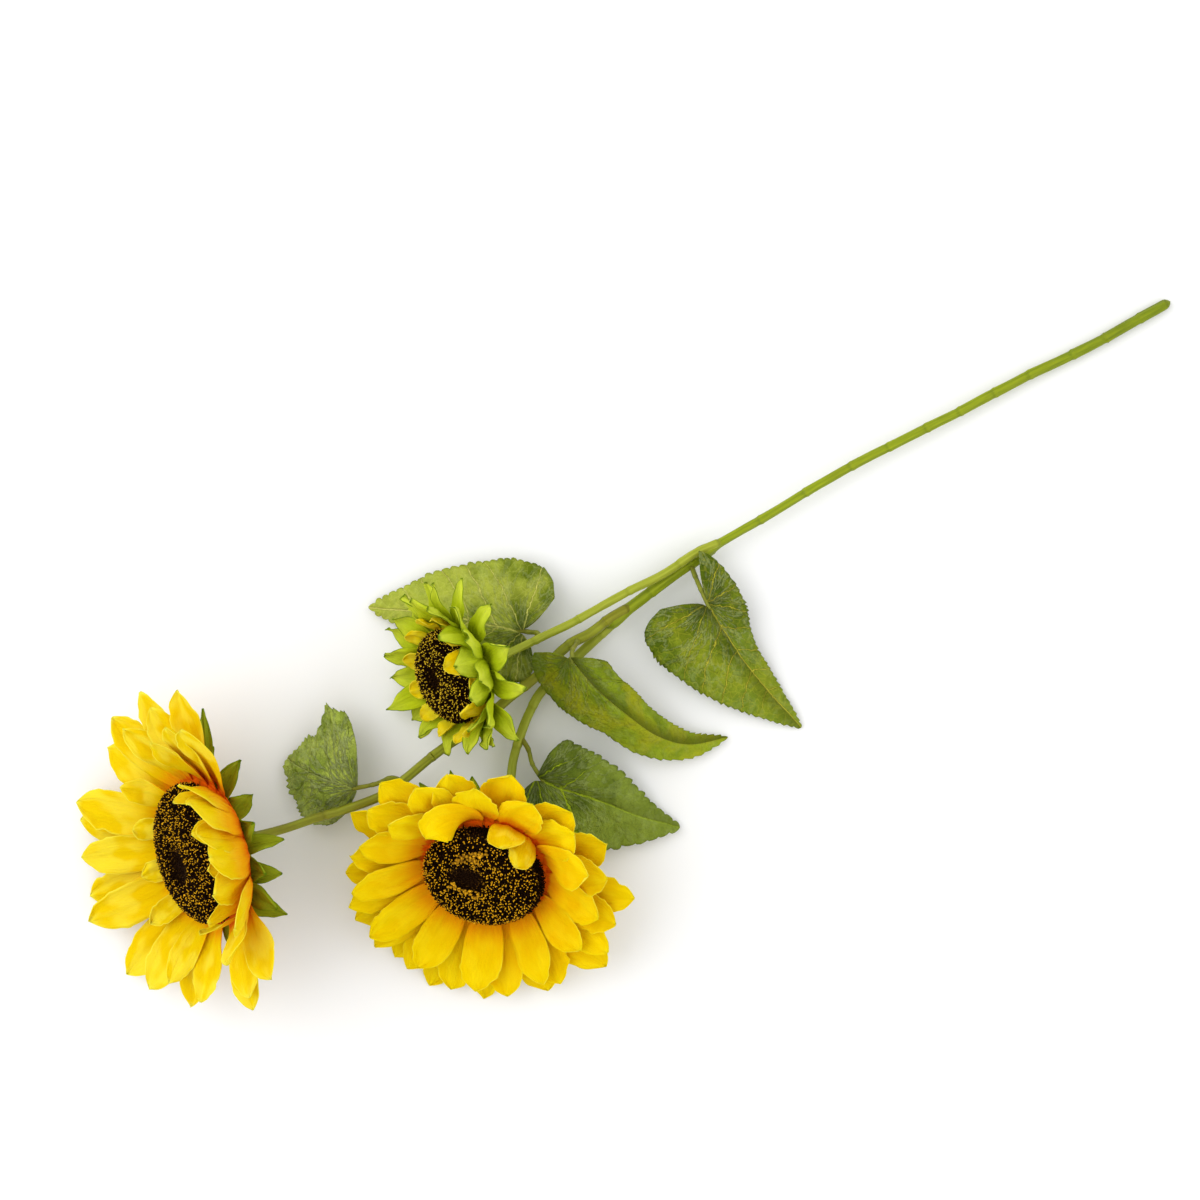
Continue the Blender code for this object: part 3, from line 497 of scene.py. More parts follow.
def blade(skin, tag, spec, radius, level, style, rng):
    """One petal or sepal: an arched, creased and slightly ruffled sheet."""
    azimuth, length, width, lean, curl, bend = spec
    start = math.radians(azimuth + rng.uniform(-1, 1) * style["jitter"])
    lean = lean + rng.uniform(-1, 1) * style["jitter"]
    roll = math.radians(rng.uniform(-1, 1) * style["twist"]
                        - HEADS[tag]["roll"] * math.cos(math.radians(azimuth)))
    skew = rng.uniform(-0.45, 0.45)
    crease = style["crease"] * rng.uniform(-0.6, 1.0)
    pleats = rng.uniform(*style["pleats"])
    phase = rng.uniform(0, ANY_WAY)
    seed = rng.uniform(0, 900)
    t = np.linspace(0, 1, style["along"])
    u = np.linspace(-1, 1, style["across"])[None, :]
    a = np.radians(lean * (1 - SPRING * np.exp(-t / SPRING_RUN)) + curl * t)
    b = start + np.radians(bend * t)
    out = ring_points(1.0, b, 0.0)
    side = ring_points(1.0, b + math.pi / 2, 0.0)
    face = np.array([0.0, 0.0, 1.0])
    along = np.cos(a)[:, None] * out + np.sin(a)[:, None] * face
    above = -np.sin(a)[:, None] * out + np.cos(a)[:, None] * face
    roll = roll * smoothstep(0, 0.7, t)[:, None]
    side, above = (np.cos(roll) * side + np.sin(roll) * above,
                   np.cos(roll) * above - np.sin(roll) * side)
    spine = np.zeros((len(t), 3))
    spine[1:] = np.cumsum((along[1:] + along[:-1]) / 2 * length / (len(t) - 1), axis=0)
    spine += ring_points(radius, start, level)
    half = width / 2 * HEADS[tag]["wide"] * curve_through(*style["outline"], t)
    torn = style["ragged"] * smoothstep(0.55, 0.8, t)
    left, right = [half * (1 + torn * ripple(t * 11, edge, seed)) for edge in (0, 5)]
    reach = np.where(u < 0, left[:, None], right[:, None]) * u
    t = t[:, None]
    reach = reach + skew * t ** 3 * half.max() * 0.5 * smoothstep(0, 1, t)

    # the sheet is cupped, creased along its middle, pleated, and ruffled toward the tip
    lift = style["cup"] * half[:, None] * np.abs(u) ** 1.7
    lift = lift - crease * np.exp(-(u / 0.20) ** 2) * (1 - t * 0.4)
    swell = np.sin(np.pi * np.clip(t * 0.96 + 0.02, 0, 1)) ** 0.6
    lift = lift + style["pleat_depth"] * np.cos(pleats * np.pi * u + phase) * swell
    wave = ripple(u * 1.3, t * 2.6, seed)
    lift = lift + style["ruffle"] * wave * smoothstep(0, 0.5, t) * (0.35 + 0.65 * u ** 2)
    points = (spine[:, None] + side[:, None] * reach[..., None]
              + above[:, None] * lift[..., None])
    root = points[0] - along[0] * TUCK[1]
    points = np.concatenate([[root - out[0] * (TUCK[0] - TUCK[1]), root], points])
    flat = np.stack(np.broadcast_arrays(u * 0.5 + 0.5, np.concatenate([[[0], [0]], t])),
                    axis=-1)
    skin.grid(place(tag, points), flat, rng.random())


def blade_layer(tag, layer, radius, depth, style, thickness, materials, slot):
    """One die-cut layer, depth layers down: its petals or sepals, and a washer that holds
    them together under the disc."""
    node = f"head_{tag}_{layer}"
    name = f"cloth_{node}"
    level = -LAYER_PITCH * depth
    rng = random.Random(name)
    skin = Skin()
    for row in BLADES[node].split(","):
        spec = [float(number) for number in row.split()] + [0.0, 0.0]
        blade(skin, tag, spec[:6], radius, level, style, rng)
    rings = np.array([[HEADS[tag]["hole"]], [radius * 0.5], [radius - 1.0]])
    washer = ring_points(rings, round_turn(WASHER_SIDES), level)
    skin.grid(place(tag, washer), np.zeros((*washer.shape[:2], 2)), 0.5, closed=True)
    stand_for(skin.build(name, materials, thickness), slot, node)


# ---------------------------------------------------------------- seed discs
TOP_ROWS = 9               # rows of a disc's profile that bristles grow from


def disc_profile(head):
    """Radius and level pairs of the disc under its bristles, from centre to underside."""
    r, edge = head["disc"] - BRISTLE_ROOM, head["edge"] - BRISTLE_ROOM
    top = head["height"] - 1.3
    return [(0, top - 0.3), (r * 0.14, top - 0.2), (r * 0.30, top), (r * 0.45, top),
            (r * 0.62, top - 0.2), (r * 0.82, top - 1.2), (r - 1.6, edge), (r, edge - 2.2),
            (r, 2.2), (r - 1.5, 0.6), (0, 0.6)]


def dimple(head, x, y):
    """How far inside the dimple a place on the disc lies, 0 outside and 1 at its middle."""
    at_x, at_y, size = head["dimple"]
    return np.exp(-(np.hypot(x - at_x, (y - at_y) * 1.15) / size) ** 4)


# Rings of four points up a bristle: height, width, lean and gold, as shares of the whole.
BRISTLE_RINGS = ((-0.4, 1.0, 0.0, 0.0), (0.55, 0.62, 0.12, 0.25), (0.82, 0.95, 0.55, 1.0))


def bristle(skin, tag, foot, up, length, thick, bend, tone, rng):
    """One bristle: a tapered stalk with a swollen tip that leans sideways."""
    centre, sideways, uphill, face = head_axes(tag)
    foot = centre + foot @ np.array([sideways, uphill, face])
    up = up @ np.array([sideways, uphill, face])
    x = unit(np.cross(up, (0.3, 0.5, 0.81)))
    y = np.cross(up, x)
    way = rng.uniform(0, ANY_WAY)
    drift = (math.cos(way) * x + math.sin(way) * y) * bend
    spin = rng.uniform(0, ANY_WAY / 4)
    points, tones = [], []
    for share, wide, lean, gold in BRISTLE_RINGS:
        for k in range(4):
            angle = spin + k * math.pi / 2
            points.append(foot + up * length * share + drift * lean
                          + (math.cos(angle) * x + math.sin(angle) * y) * thick * wide)
            tones.append(gold * tone)
    points.append(foot + up * length + drift)
    tones.append(tone)
    faces = [(3, 2, 1, 0)]
    for ring in (0, 4):
        faces += [(ring + k, ring + (k + 1) % 4, ring + 4 + (k + 1) % 4, ring + 4 + k)
                  for k in range(4)]
    faces += [(8 + k, 8 + (k + 1) % 4, 12) for k in range(4)]
    skin.add(points, faces, np.zeros((13, 2)), tones)


def nearest(point, paths):
    """Distance from a point on the disc to the nearest matted tuft."""
    best = 99.0
    for path in paths:
        for a, b in zip(path, path[1:]):
            a, b = np.array(a), np.array(b)
            share = np.clip(np.dot(point - a, b - a) / np.dot(b - a, b - a), 0, 1)
            best = min(best, float(np.linalg.norm(a + (b - a) * share - point)))
    return best


def seed_disc(tag, spacing, length, material):
    """Dark domed disc covered in bristles with golden tips round an olive dimple."""
    head = HEADS[tag]
    spacing, grain = spacing * head["grain"], head["grain"]
    rng = random.Random("disc " + tag)
    profile = disc_profile(head)
    radii, levels = np.array(profile, float).T[..., None]
    rings = ring_points(radii, round_turn(DISC_SIDES), levels)
    rings[:TOP_ROWS, :, 2] -= DOMED * dimple(head, *rings[:TOP_ROWS, :, :2].T).T
    skin = Skin()
    skin.grid(place(tag, rings), np.zeros((*rings.shape[:2], 2)), 0.0, closed=True)
    run, path = route_curve(profile[:TOP_ROWS])
    reach = run[-1]
    ring = spacing
    while ring < reach:
        here = curve_through(run, path, ring)[0]
        ahead = curve_through(run, path, min(ring + 0.3, reach))[0]
        slope = (ahead - here) / max(np.linalg.norm(ahead - here), 1e-6)
        for k in range(int(FULL_TURN * max(here[0], 0.5) / spacing)):
            angle = (k + rng.uniform(0, 0.8)) * spacing / max(here[0], 0.5) + ring
            out = np.array([math.cos(angle), math.sin(angle), 0.0])
            spot = here[0] + rng.uniform(-0.4, 0.4) * spacing
            foot = out * spot + np.array([0, 0, here[1]])
            inside = float(dimple(head, foot[0], foot[1]))
            foot[2] -= DOMED * inside
            up = -slope[1] * out + np.array([0, 0, slope[0]])
            side_wall = smoothstep(head["disc"] - 4.0, head["disc"] - 1.5, spot)
            up = up + out * WALL_OUT * side_wall + np.array([0, 0, WALL_UP]) * side_wall
            up = unit(up + np.array([rng.uniform(-SPLAY, SPLAY) for _ in range(3)]))
            size = length * (1 - DIMPLE_SHORT * inside)
            gold = 1.0 if rng.random() < head["gold"] else rng.uniform(0.0, 0.25)
            shaded = side_wall * smoothstep(-0.2, 0.5, out[0] * 0.8 + out[1] * 0.6)
            gold *= (1 - inside) * (1 - WALL_SHADE * float(shaded))
            near = nearest(foot[:2], head["tufts"])
            thick, lean = rng.uniform(0.28, 0.42) * grain, rng.uniform(0.3, 1.3)
            if near < TUFT_REACH + rng.uniform(-0.4, 0.5):
                gold, thick, lean = rng.uniform(0.66, 0.82), TUFT_THICK, TUFT_LEAN
                size += TUFT_RISE
            bristle(skin, tag, foot, up, size * rng.uniform(0.75, 1.15), thick, lean,
                    gold * rng.uniform(0.8, 1.0) + DIMPLE_GOLD * inside, rng)
        ring += spacing * RING_PITCH
    stand_for(skin.build(f"bristles_{tag}", [material]), "seed_disc_plastic",
              f"head_{tag}_seed_disc")


# ---------------------------------------------------------------- receptacles
def receptacle(tag, layers, material):
    """Ribbed green cup behind a head, narrowing to its stem."""
    head = HEADS[tag]
    rng = random.Random("cup " + tag)
    top = -LAYER_PITCH * (layers - 1) - 0.55
    cup, depth, neck = head["cup"], head["depth"], head["neck"]
    profile = [(0, top), (cup * 0.6, top), (cup - 0.8, top), (cup, top - 1.8),
               (cup * 0.88, -depth * 0.36), (cup * 0.55, -depth * 0.62),
               (neck + 0.6, -depth + 3.0), (neck, -depth), (neck * 0.8, -depth - 1.5),
               (0, -depth - 1.5)]
    run, path = route_curve(profile)
    rows = curve_through(run, path, np.linspace(0, run[-1], CUP_ROWS))
    radius, level = np.maximum(rows[:, :1], 0.0), rows[:, 1:]
    turns = round_turn(CUP_SIDES)
    seed = rng.uniform(0, 50)
    swell = 1 - 0.035 * np.cos(12 * turns) - 0.02 * ripple(
        np.cos(turns) * 3, np.sin(turns) * 3, level * 0.2 + seed)
    points = ring_points(radius * np.minimum(swell, 1.03), turns, level)
    flat = np.stack(np.broadcast_arrays(turns / ANY_WAY,
                                        np.linspace(0, 1, CUP_ROWS)[:, None]), axis=-1)
    skin = Skin()
    skin.grid(place(tag, points), flat, 0.4, closed=True)
    stand_for(skin.build(f"calyx_{tag}", [material]), "receptacle_plastic",
              f"head_{tag}_receptacle")


# ---------------------------------------------------------------- stems and stalks
def bump(away, shape):
    """A smooth bump of a given height, place and width."""
    height, at, width = shape
    return height * np.exp(-((away - at) / width) ** 2)


def stem(node, ring, ridge, skins, route, radii, knuckles, flare, rings, finish, ribs=1.0,
         head=None, darker_run=1, sides=20):
    """A moulded stem: ridged lengthwise, stepped where its segments meet, and darker over
    a run from its start."""
    name = f"moulded_{node}"
    rng = random.Random(name)
    ring, ridge = ring * rings, ridge * ribs
    run, path = route_curve(route + (neck_points(head) if head else []))
    reach = run[-1]
    stations = np.linspace(0, reach, max(int(reach / STEM_STEP), 12))
    stations = np.unique(np.concatenate([stations] + [RING_ROWS + k * reach
                                                      for k in knuckles]))
    stations = stations[(stations >= 0) & (stations <= reach)]
    centres = curve_through(run, path, stations)
    seed = rng.uniform(0, 90)
    for axis in (1, 2):
        centres[:, axis] += BEND * ripple(stations, axis * 7, seed, BEND_SIZE)
    heading = unit(np.gradient(centres, axis=0))
    x = unit(np.cross(heading[0], (0.0, 0.0, 1.0)))
    base = radii[0] + (radii[1] - radii[0]) * stations / reach
    base = base + flare * smoothstep(reach - FLARE_RUN, reach, stations)
    step = np.zeros_like(stations)
    shade = -0.5 * (1 - smoothstep(0, darker_run, stations))
    for k in knuckles:
        away = stations - k * reach
        step += bump(away, RING) * ring
        step += SWELLING[0] * ring * np.exp(-np.abs(away) / SWELLING[1]) * (away < 0)
        step += bump(away, GROOVE) * ring
        shade += bump(away, DARK_BAND)
    turns = round_turn(sides)
    skin = Skin()
    points, flat, tones = [], [], []
    for i, centre in enumerate(centres):
        x = unit(x - heading[i] * np.dot(x, heading[i]))
        y = np.cross(heading[i], x)
        groove = ridge * np.cos(5 * turns + stations[i] * 0.012 + seed)
        groove += ridge * 0.6 * np.cos(8 * turns - stations[i] * 0.02)
        lump = np.array([noise.noise(Vector((math.cos(a) * 1.2, math.sin(a) * 1.2,
                                             stations[i] * 0.07 + seed))) for a in turns])
        r = base[i] * (1 + groove + 0.07 * lump) + step[i]
        points.append(centre + r[:, None] * (np.cos(turns)[:, None] * x
                                             + np.sin(turns)[:, None] * y))
        flat.append(np.stack([turns / ANY_WAY, np.full(sides, stations[i] * 0.01)], axis=1))
        # the tone holds painted shade in the grooves and painted highlight on the ribs and
        # raised rings
        tones.append(np.clip(0.42 + 5.0 * groove + shade[i] + step[i] * 0.3, 0, 1))
    skin.grid(np.array(points), np.array(flat), np.array(tones), closed=True)
    for end, way in ((0, -1), (len(centres) - 1, 1)):      # rounded ends
        first = skin.count
        rim = points[end]
        dome = [centres[end] + (rim - centres[end]) * f + heading[end] * way * base[end] * d
                for f, d in ((0.86, 0.45), (0.48, 0.95))]
        tip = centres[end] + heading[end] * way * base[end] * 1.25
        last = end * sides - first
        faces = []
        for k in range(sides):
            m = (k + 1) % sides
            faces.append((last + k, last + m, m, k))
            faces.append((k, m, sides + m, sides + k))
            faces.append((sides + k, sides + m, 2 * sides))
        skin.add(np.concatenate(dome + [[tip]]), faces,
                 np.full((2 * sides + 1, 2), stations[end] * 0.01), 0.0)
    stand_for(skin.build(name, [skins[finish]]), "stem_plastic", node)


def neck_points(tag):
    """The last two points of a stem that runs into the back of a head."""
    depth = HEADS[tag]["depth"]
    return [tuple(place(tag, (0, 0, -(depth + back)))) for back in (6.4, -1.0)]


# ---------------------------------------------------------------- leaves
def leaf_veins(across, along, pitch):
    """Depth of the pressed veins, 1 on a vein, from flat leaf coordinates in mm."""
    x = np.abs(across)
    middle = np.exp(-(x / 1.1) ** 2) * (along > -1)
    start = along - 0.75 * x - 0.004 * x ** 2
    k = np.maximum(np.round(start / pitch), 0)
    lateral = np.exp(-((start - k * pitch) * 0.8 / 0.9) ** 2)
    r = np.hypot(x, along)
    angle = np.arctan2(x, along)
    rays = sum(np.exp(-(r * np.sin(np.clip(angle - ray, -1.5, 1.5)) / 0.9) ** 2)
               for ray in VEIN_RAYS)
    return np.clip(np.maximum(middle, np.maximum(lateral, rays * (angle > 1.2))), 0, 1)


def leaf(name, bite_scale, pitch, crumple, pillow, thickness, material):
    """A serrated heart-shaped blade with pressed veins and puffed fields between them."""
    shape = LEAVES[name]
    tooth_depth, crumple = shape["depth"] * bite_scale, shape["waves"] * crumple
    teeth, outlines = shape["teeth"], shape.get("outlines", (LEAF_OUTER, LEAF_OUTER))
    rng = random.Random(name)
    seed = rng.uniform(0, 90)
    run, path = route_curve(shape["route"])
    length = run[-1]
    stations, bite = [], []
    first, last = LEAF_S[0], LEAF_S[-1]
    for i in range(teeth):
        size, shift = rng.uniform(0.45, 1.15), rng.uniform(-0.12, 0.12)
        for phase, reach in zip(*shape["tooth"]):
            moved = shift if 0 < phase < 0.7 else 0.0
            stations.append(first + (last - first) * (i + phase + moved) / teeth)
            bite.append(reach * size)
    stations = np.array(stations + [last])
    bite = np.array(bite + [0.0]) * smoothstep(first, first + 0.10, stations)
    bite *= 1 - 0.6 * smoothstep(0.93, 1.0, stations)
    inner = np.maximum(curve_through(LEAF_S, LEAF_INNER, stations), 0.0)
    inner[stations > NOTCH_END] = 0.0
    share = np.maximum(stations, 0.0)
    k = np.linspace(0, 1, LEAF_COLUMNS)
    along = unit(curve_through(run, path, np.minimum(share + 0.02, 1) * length)
                 - curve_through(run, path, np.maximum(share - 0.02, 0) * length))
    side = unit(np.cross((0.0, 0.0, 1.0), along))
    above = np.cross(along, side)
    skin = Skin()
    for h, sign in enumerate((1, -1)):
        width, lobe = shape["widths"][h], shape["lobes"][h]
        back = np.minimum(stations, 0.0)[:, None] * length * lobe
        middle = curve_through(run, path, share * length)
        middle = middle + along * np.array([1, 1, LOBE_RISE]) * back
        slope = np.interp(share, SLOPE_AT, shape["slopes"][h])
        reach = curve_through(LEAF_S, outlines[h], stations)
        u = width * (inner[:, None] + (reach - inner)[:, None] * k)
        edge = k ** 7 * (bite * tooth_depth)[:, None]
        a = np.radians(slope[:, None] - LEAF_DROOP * u / width)
        w = math.radians(shape["sweep"][h])
        out = sign * side * math.cos(w) + along * math.sin(w)
        u = u + edge
        flat_x = u * math.cos(w)
        flat_y = stations[:, None] * length * np.where(stations < 0, lobe, 1)[:, None]
        flat_y = flat_y + u * math.sin(w)
        points = (middle[:, None] + out[:, None] * (u * np.cos(a))[..., None]
                  + above[:, None] * (u * np.sin(a))[..., None])
        points = points + along[:, None] * (edge * 0.8)[..., None]
        vein = leaf_veins(flat_x, flat_y, pitch)
        grid = (sign * flat_x, flat_y, seed)
        puff = sum(part * crumple * ripple(*grid, size) for part, size in WAVES)
        puff = puff * smoothstep(0, 6, u) + pillow * (0.5 - vein)
        rim = smoothstep(0.82, 1.0, k)[None, :] * RIM_WAVE * ripple(*grid, RIM_SIZE)
        points = points + above[:, None] * (puff + rim)[..., None]
        flat = np.stack([sign * flat_x, flat_y], axis=-1) * 0.01 + 0.5
        if sign < 0:
            points, flat = points[:, ::-1], flat[:, ::-1]
        tone = np.broadcast_to(k if sign > 0 else k[::-1], u.shape)
        skin.grid(points, flat, tone)
    ob = skin.build(f"blade_{name}", [material], thickness)
    weld = ob.modifiers.new("midrib", "WELD")
    weld.merge_threshold = WELD_REACH
    ob.modifiers.move(1, 0)
    stand_for(ob, "leaf_fabric", name)


# ---------------------------------------------------------------- shader helpers
def join(source, target):
    """Sets a socket to a number or colour, or joins it to a node's output."""
    if isinstance(source, Value):
        source = source.socket
    if isinstance(source, bpy.types.NodeSocket):
        target.id_data.links.new(source, target)
    elif target.type == "RGBA":
        target.default_value = (*source[:3], 1.0)
    else:
        target.default_value = source


def add_node(tree, kind, inputs=(), **settings):
    """A node with its settings, and its inputs by name or number."""
    node = tree.nodes.new("ShaderNode" + kind)
    for label, value in settings.items():
        setattr(node, label, value)
    for label, value in dict(inputs).items():
        join(value, node.inputs[label])
    return node


def maths(operation, turned=False):
    """A method of Value that makes one Math node; turned puts the value last."""
    def method(self, *others):
        values = (*others, self) if turned else (self, *others)
        node = add_node(self.tree, "Math", enumerate(values), operation=operation)
        return Value(node.outputs[0])
    return method


class Value:
    """A node's output; arithmetic on it makes Math nodes."""

    def __init__(self, socket):
        self.socket, self.tree = socket, socket.id_data

    def clamped(self):
        """Keeps the last sum or product between 0 and 1."""
        self.socket.node.use_clamp = True
        return self

    __add__ = __radd__ = maths("ADD")
    __mul__ = __rmul__ = maths("MULTIPLY")
    __sub__, __rsub__ = maths("SUBTRACT"), maths("SUBTRACT", turned=True)
    __truediv__, __rtruediv__ = maths("DIVIDE"), maths("DIVIDE", turned=True)
    __pow__, __abs__ = maths("POWER"), maths("ABSOLUTE")
    most, pingpong, angle = maths("MAXIMUM"), maths("PINGPONG"), maths("ARCTAN2")
    root, sine, sign, whole = maths("SQRT"), maths("SINE"), maths("SIGN"), maths("ROUND")


def fade(value, low, high, start=0.0, end=1.0):
    """Smooth change from start to end while value goes from low to high."""
    node = add_node(value.tree, "MapRange", enumerate((value, low, high, start, end)),
                    interpolation_type="SMOOTHSTEP")
    return Value(node.outputs[0])


def blend(share, first, second):
    """Mixes two colours by a share."""
    node = add_node(share.tree, "Mix", {6: first, 7: second, 0: share}, data_type="RGBA")
    return Value(node.outputs[2])


def shaded(colour, shade):
    """A colour multiplied by a number."""
    grey = add_node(shade.tree, "CombineColor", {0: shade, 1: shade, 2: shade})
    node = add_node(shade.tree, "Mix", {0: 1.0, 6: colour, 7: Value(grey.outputs[0])},
                    data_type="RGBA", blend_type="MULTIPLY")
    return Value(node.outputs[2])


def speckle(where, scale, detail=2.0, rough=0.5):
    """A noise value between 0 and 1."""
    node = add_node(where.tree, "TexNoise", {"Vector": where, "Scale": scale,
                                             "Detail": detail, "Roughness": rough})
    return Value(node.outputs["Fac"])


def stretched(where, scale):
    """Coordinates scaled along each axis."""
    node = add_node(where.tree, "VectorMath", {0: where, 1: scale}, operation="MULTIPLY")
    return Value(node.outputs[0])


def split(where):
    """The first two numbers of a vector."""
    node = add_node(where.tree, "SeparateXYZ", {0: where})
    return Value(node.outputs[0]), Value(node.outputs[1])


def pack(x, y, z):
    """A vector of three numbers."""
    return Value(add_node(x.tree, "CombineXYZ", {0: x, 1: y, 2: z}).outputs[0])


def flat_map(tree):
    """A piece's flat map."""
    return Value(add_node(tree, "UVMap", uv_map="flat").outputs[0])


def own_place(tree):
    """Place in the piece's own space, in metres."""
    return Value(add_node(tree, "TexCoord").outputs["Object"])


def tone_of(tree):
    """The number kept at each vertex of a piece."""
    return Value(add_node(tree, "Attribute", attribute_name="tone").outputs["Fac"])


def new_group(name, inputs, outputs):
    """A shader node group with named inputs and their defaults, and named outputs; the
    output called Colour is a colour. Returns its tree, inputs and outputs."""
    tree = bpy.data.node_groups.new(name, "ShaderNodeTree")
    for label, default in inputs.items():
        colour = isinstance(default, tuple)
        socket = tree.interface.new_socket(
            label, in_out="INPUT",
            socket_type="NodeSocketColor" if colour else "NodeSocketFloat")
        socket.default_value = (*default, 1.0) if colour else default
    for label in outputs:
        tree.interface.new_socket(
            label, in_out="OUTPUT",
            socket_type="NodeSocketColor" if label == "Colour" else "NodeSocketFloat")
    given = tree.nodes.new("NodeGroupInput").outputs
    return (tree, {label: Value(given[label]) for label in inputs},
            tree.nodes.new("NodeGroupOutput").inputs)


def use_group(tree, name, *values):
    """Places a group in a material with this material's own values, in the group's order."""
    node = add_node(tree, "Group", node_tree=bpy.data.node_groups[name])
    for value, socket in zip(values, node.inputs):
        join(value, socket)
    return {socket.name: Value(socket) for socket in node.outputs}


def new_material(name, **finish):
    """A material with numbers on its shader; returns it, its tree and its shader's inputs."""
    mat = bpy.data.materials.new(name)
    mat.use_nodes = True
    shader = mat.node_tree.nodes["Principled BSDF"].inputs
    for label, value in finish.items():
        shader[label.replace("_", " ")].default_value = value
    return mat, mat.node_tree, shader


def finish_skin(shader, colour, height, depth):
    """Gives a shader its colour, and presses a height into its normal, depth in metres."""
    join(colour, shader["Base Color"])
    node = add_node(height.tree, "Bump", {"Distance": depth, "Height": height})
    join(Value(node.outputs[0]), shader["Normal"])


# ---------------------------------------------------------------- shared effects
def cloth_grain_group():
    """Fine woven speckle: a shade near 1 and a height."""
    tree, given, out = new_group("cloth grain", {"Size": 0.4, "Strength": 0.1},
                                 ("Shade", "Height"))
    where = own_place(tree)
    scale = 1000.0 / given["Size"]
    grain = speckle(where, scale, 1.0) * 0.6 + speckle(where, scale * 0.25) * 0.4
    join((grain - 0.5) * given["Strength"] + 1.0, out["Shade"])
    join(grain, out["Height"])


def blade_tint_group():
    """Colour along a petal or sepal from base to tip, with fine lengthwise pleats."""
    tree, given, out = new_group(
        "blade tint",
        {"Root": (0.8, 0.2, 0.01), "Base": (0.9, 0.4, 0.01), "Middle": (0.9, 0.65, 0.01),
         "Tip": (0.9, 0.75, 0.02), "Edge": (0.9, 0.8, 0.05), "Root End": 0.12,
         "Base End": 0.45, "Edge Width": 0.12, "Edge Share": 0.5, "Sheen Share": 0.3,
         "Pleat Shade": 0.12}, ("Colour", "Height"))
    across, along = split(flat_map(tree))
    tone = tone_of(tree)
    spot = pack(across * 9.0, along * 1.6, tone * 37.0)
    streak = speckle(spot, 1.0, 3.0, 0.6)
    soft = speckle(stretched(spot, (0.25, 2.0, 1.0)), 1.0, 1.0)
    reach = along + (streak - 0.5) * 0.16
    colour = blend(fade(reach, 0.0, given["Root End"]), given["Root"], given["Base"])
    colour = blend(fade(reach, given["Root End"], given["Base End"]), colour,
                   given["Middle"])
    colour = blend(fade(reach + tone * 0.25, 0.45, 1.1), colour, given["Tip"])
    # paler patches of painted sheen, like the lit half of a fold
    glow = fade(soft, 0.42, 0.62) * fade(along, 0.2, 0.55)
    colour = blend(glow * given["Sheen Share"], colour, given["Edge"])
    edge = fade(abs(across - 0.5), 0.5 - given["Edge Width"], 0.5)
    edge = edge.most(fade(along, 0.93, 1.0)) * fade(along, 0.3, 0.7)
    colour = blend(edge * given["Edge Share"], colour, given["Edge"])
    shade = (streak * 0.6 + soft * 0.4 - 0.5) * given["Pleat Shade"] + 1.0
    join(shaded(colour, shade), out["Colour"])
    join(streak, out["Height"])


def leaf_veins_group():
    """Printed vein lines of a leaf from its flat map: main veins, fine net and relief."""
    tree, given, out = new_group(
        "leaf veins", {"Pitch": 0.13, "Width": 0.007, "Wander": 0.02, "Reach": 0.45},
        ("Main", "Net", "Height", "Across", "Along", "Crease", "Crinkle"))
    pitch, width, wander, reach = given.values()
    flat = flat_map(tree)
    x, y = [number - 0.5 for number in split(flat)]
    warp = ((speckle(flat, 9.0) - 0.5) * wander
            + (speckle(flat, 38.0, 1.0) - 0.5) * (wander * 0.5))
    ax = abs(x)
    thin = width * fade(ax, 0.0, reach, 1.0, 0.25)

    # the midrib, the side veins that leave it and the rays that run back from the hub
    middle = fade(abs(x + warp * 0.3), width * 0.5, width * 1.5, 1.0, 0.0)
    middle = middle * fade(y, -0.03, 0.0) * fade(y, reach, reach * 2.2, 1.0, 0.35)
    start = y + warp - ax * 0.75 - ax ** 2.0 * 0.4
    vein = (start / pitch).whole().most(0.0)
    lateral = fade(abs(start - vein * pitch) * 0.8, thin * 0.4, thin * 1.2, 1.0, 0.0)
    r = (ax ** 2.0 + abs(y) ** 2.0).root()
    angle = ax.angle(y)
    for ray in VEIN_RAYS:
        off = abs(r * (angle - ray).sine() + warp * 0.6)
        line = fade(off, thin * 0.4, thin * 1.2, 1.0, 0.0) * fade(angle, 1.1, 1.3)
        lateral = lateral.most(line)
    main = middle.most(lateral * fade(r, reach, reach * 1.35, 1.0, 0.0))

    # the fine net: twigs in patches, and cells
    twig = (ax * 1.9 + y * -0.9 + warp * 1.6).pingpong(pitch * 0.34)
    twig = fade(twig, thin * 0.25, thin * 0.9, 1.0, 0.0)
    patch = fade(speckle(flat, 14.0, 1.0), 0.50, 0.62)
    cells = add_node(tree, "TexVoronoi", feature="DISTANCE_TO_EDGE")
    join(pack(x + warp, y + warp, 0.0), cells.inputs["Vector"])
    cells.inputs["Scale"].default_value = 22.0
    apart = Value(cells.outputs["Distance"])
    net = (twig * patch).most(fade(apart, 0.01, 0.07, 1.0, 0.0) * 0.5)

    # creases and crinkles that spread from the hub
    ridge, half = angle - r * 0.8, x.sign()
    folds = speckle(pack(ridge * 3.4, r * 4.5, half), 1.6, 4.0, 0.62)
    crease = (fade(abs(folds - 0.5), 0.0, 0.075, 1.0, 0.0)
              * fade(r, 0.55, 0.10, 0.25, 1.0))
    crinkle = speckle(pack(ridge * 11.0, r * 24.0, half), 1.0, 3.0, 0.55)
    relief = fade(apart, 0.0, 0.35) * 0.35 - main * 0.6 + crinkle * 1.1
    for label, value in (("Main", main), ("Net", net), ("Height", relief), ("Across", x),
                         ("Along", y), ("Crease", crease), ("Crinkle", crinkle)):
        join(value, out[label])


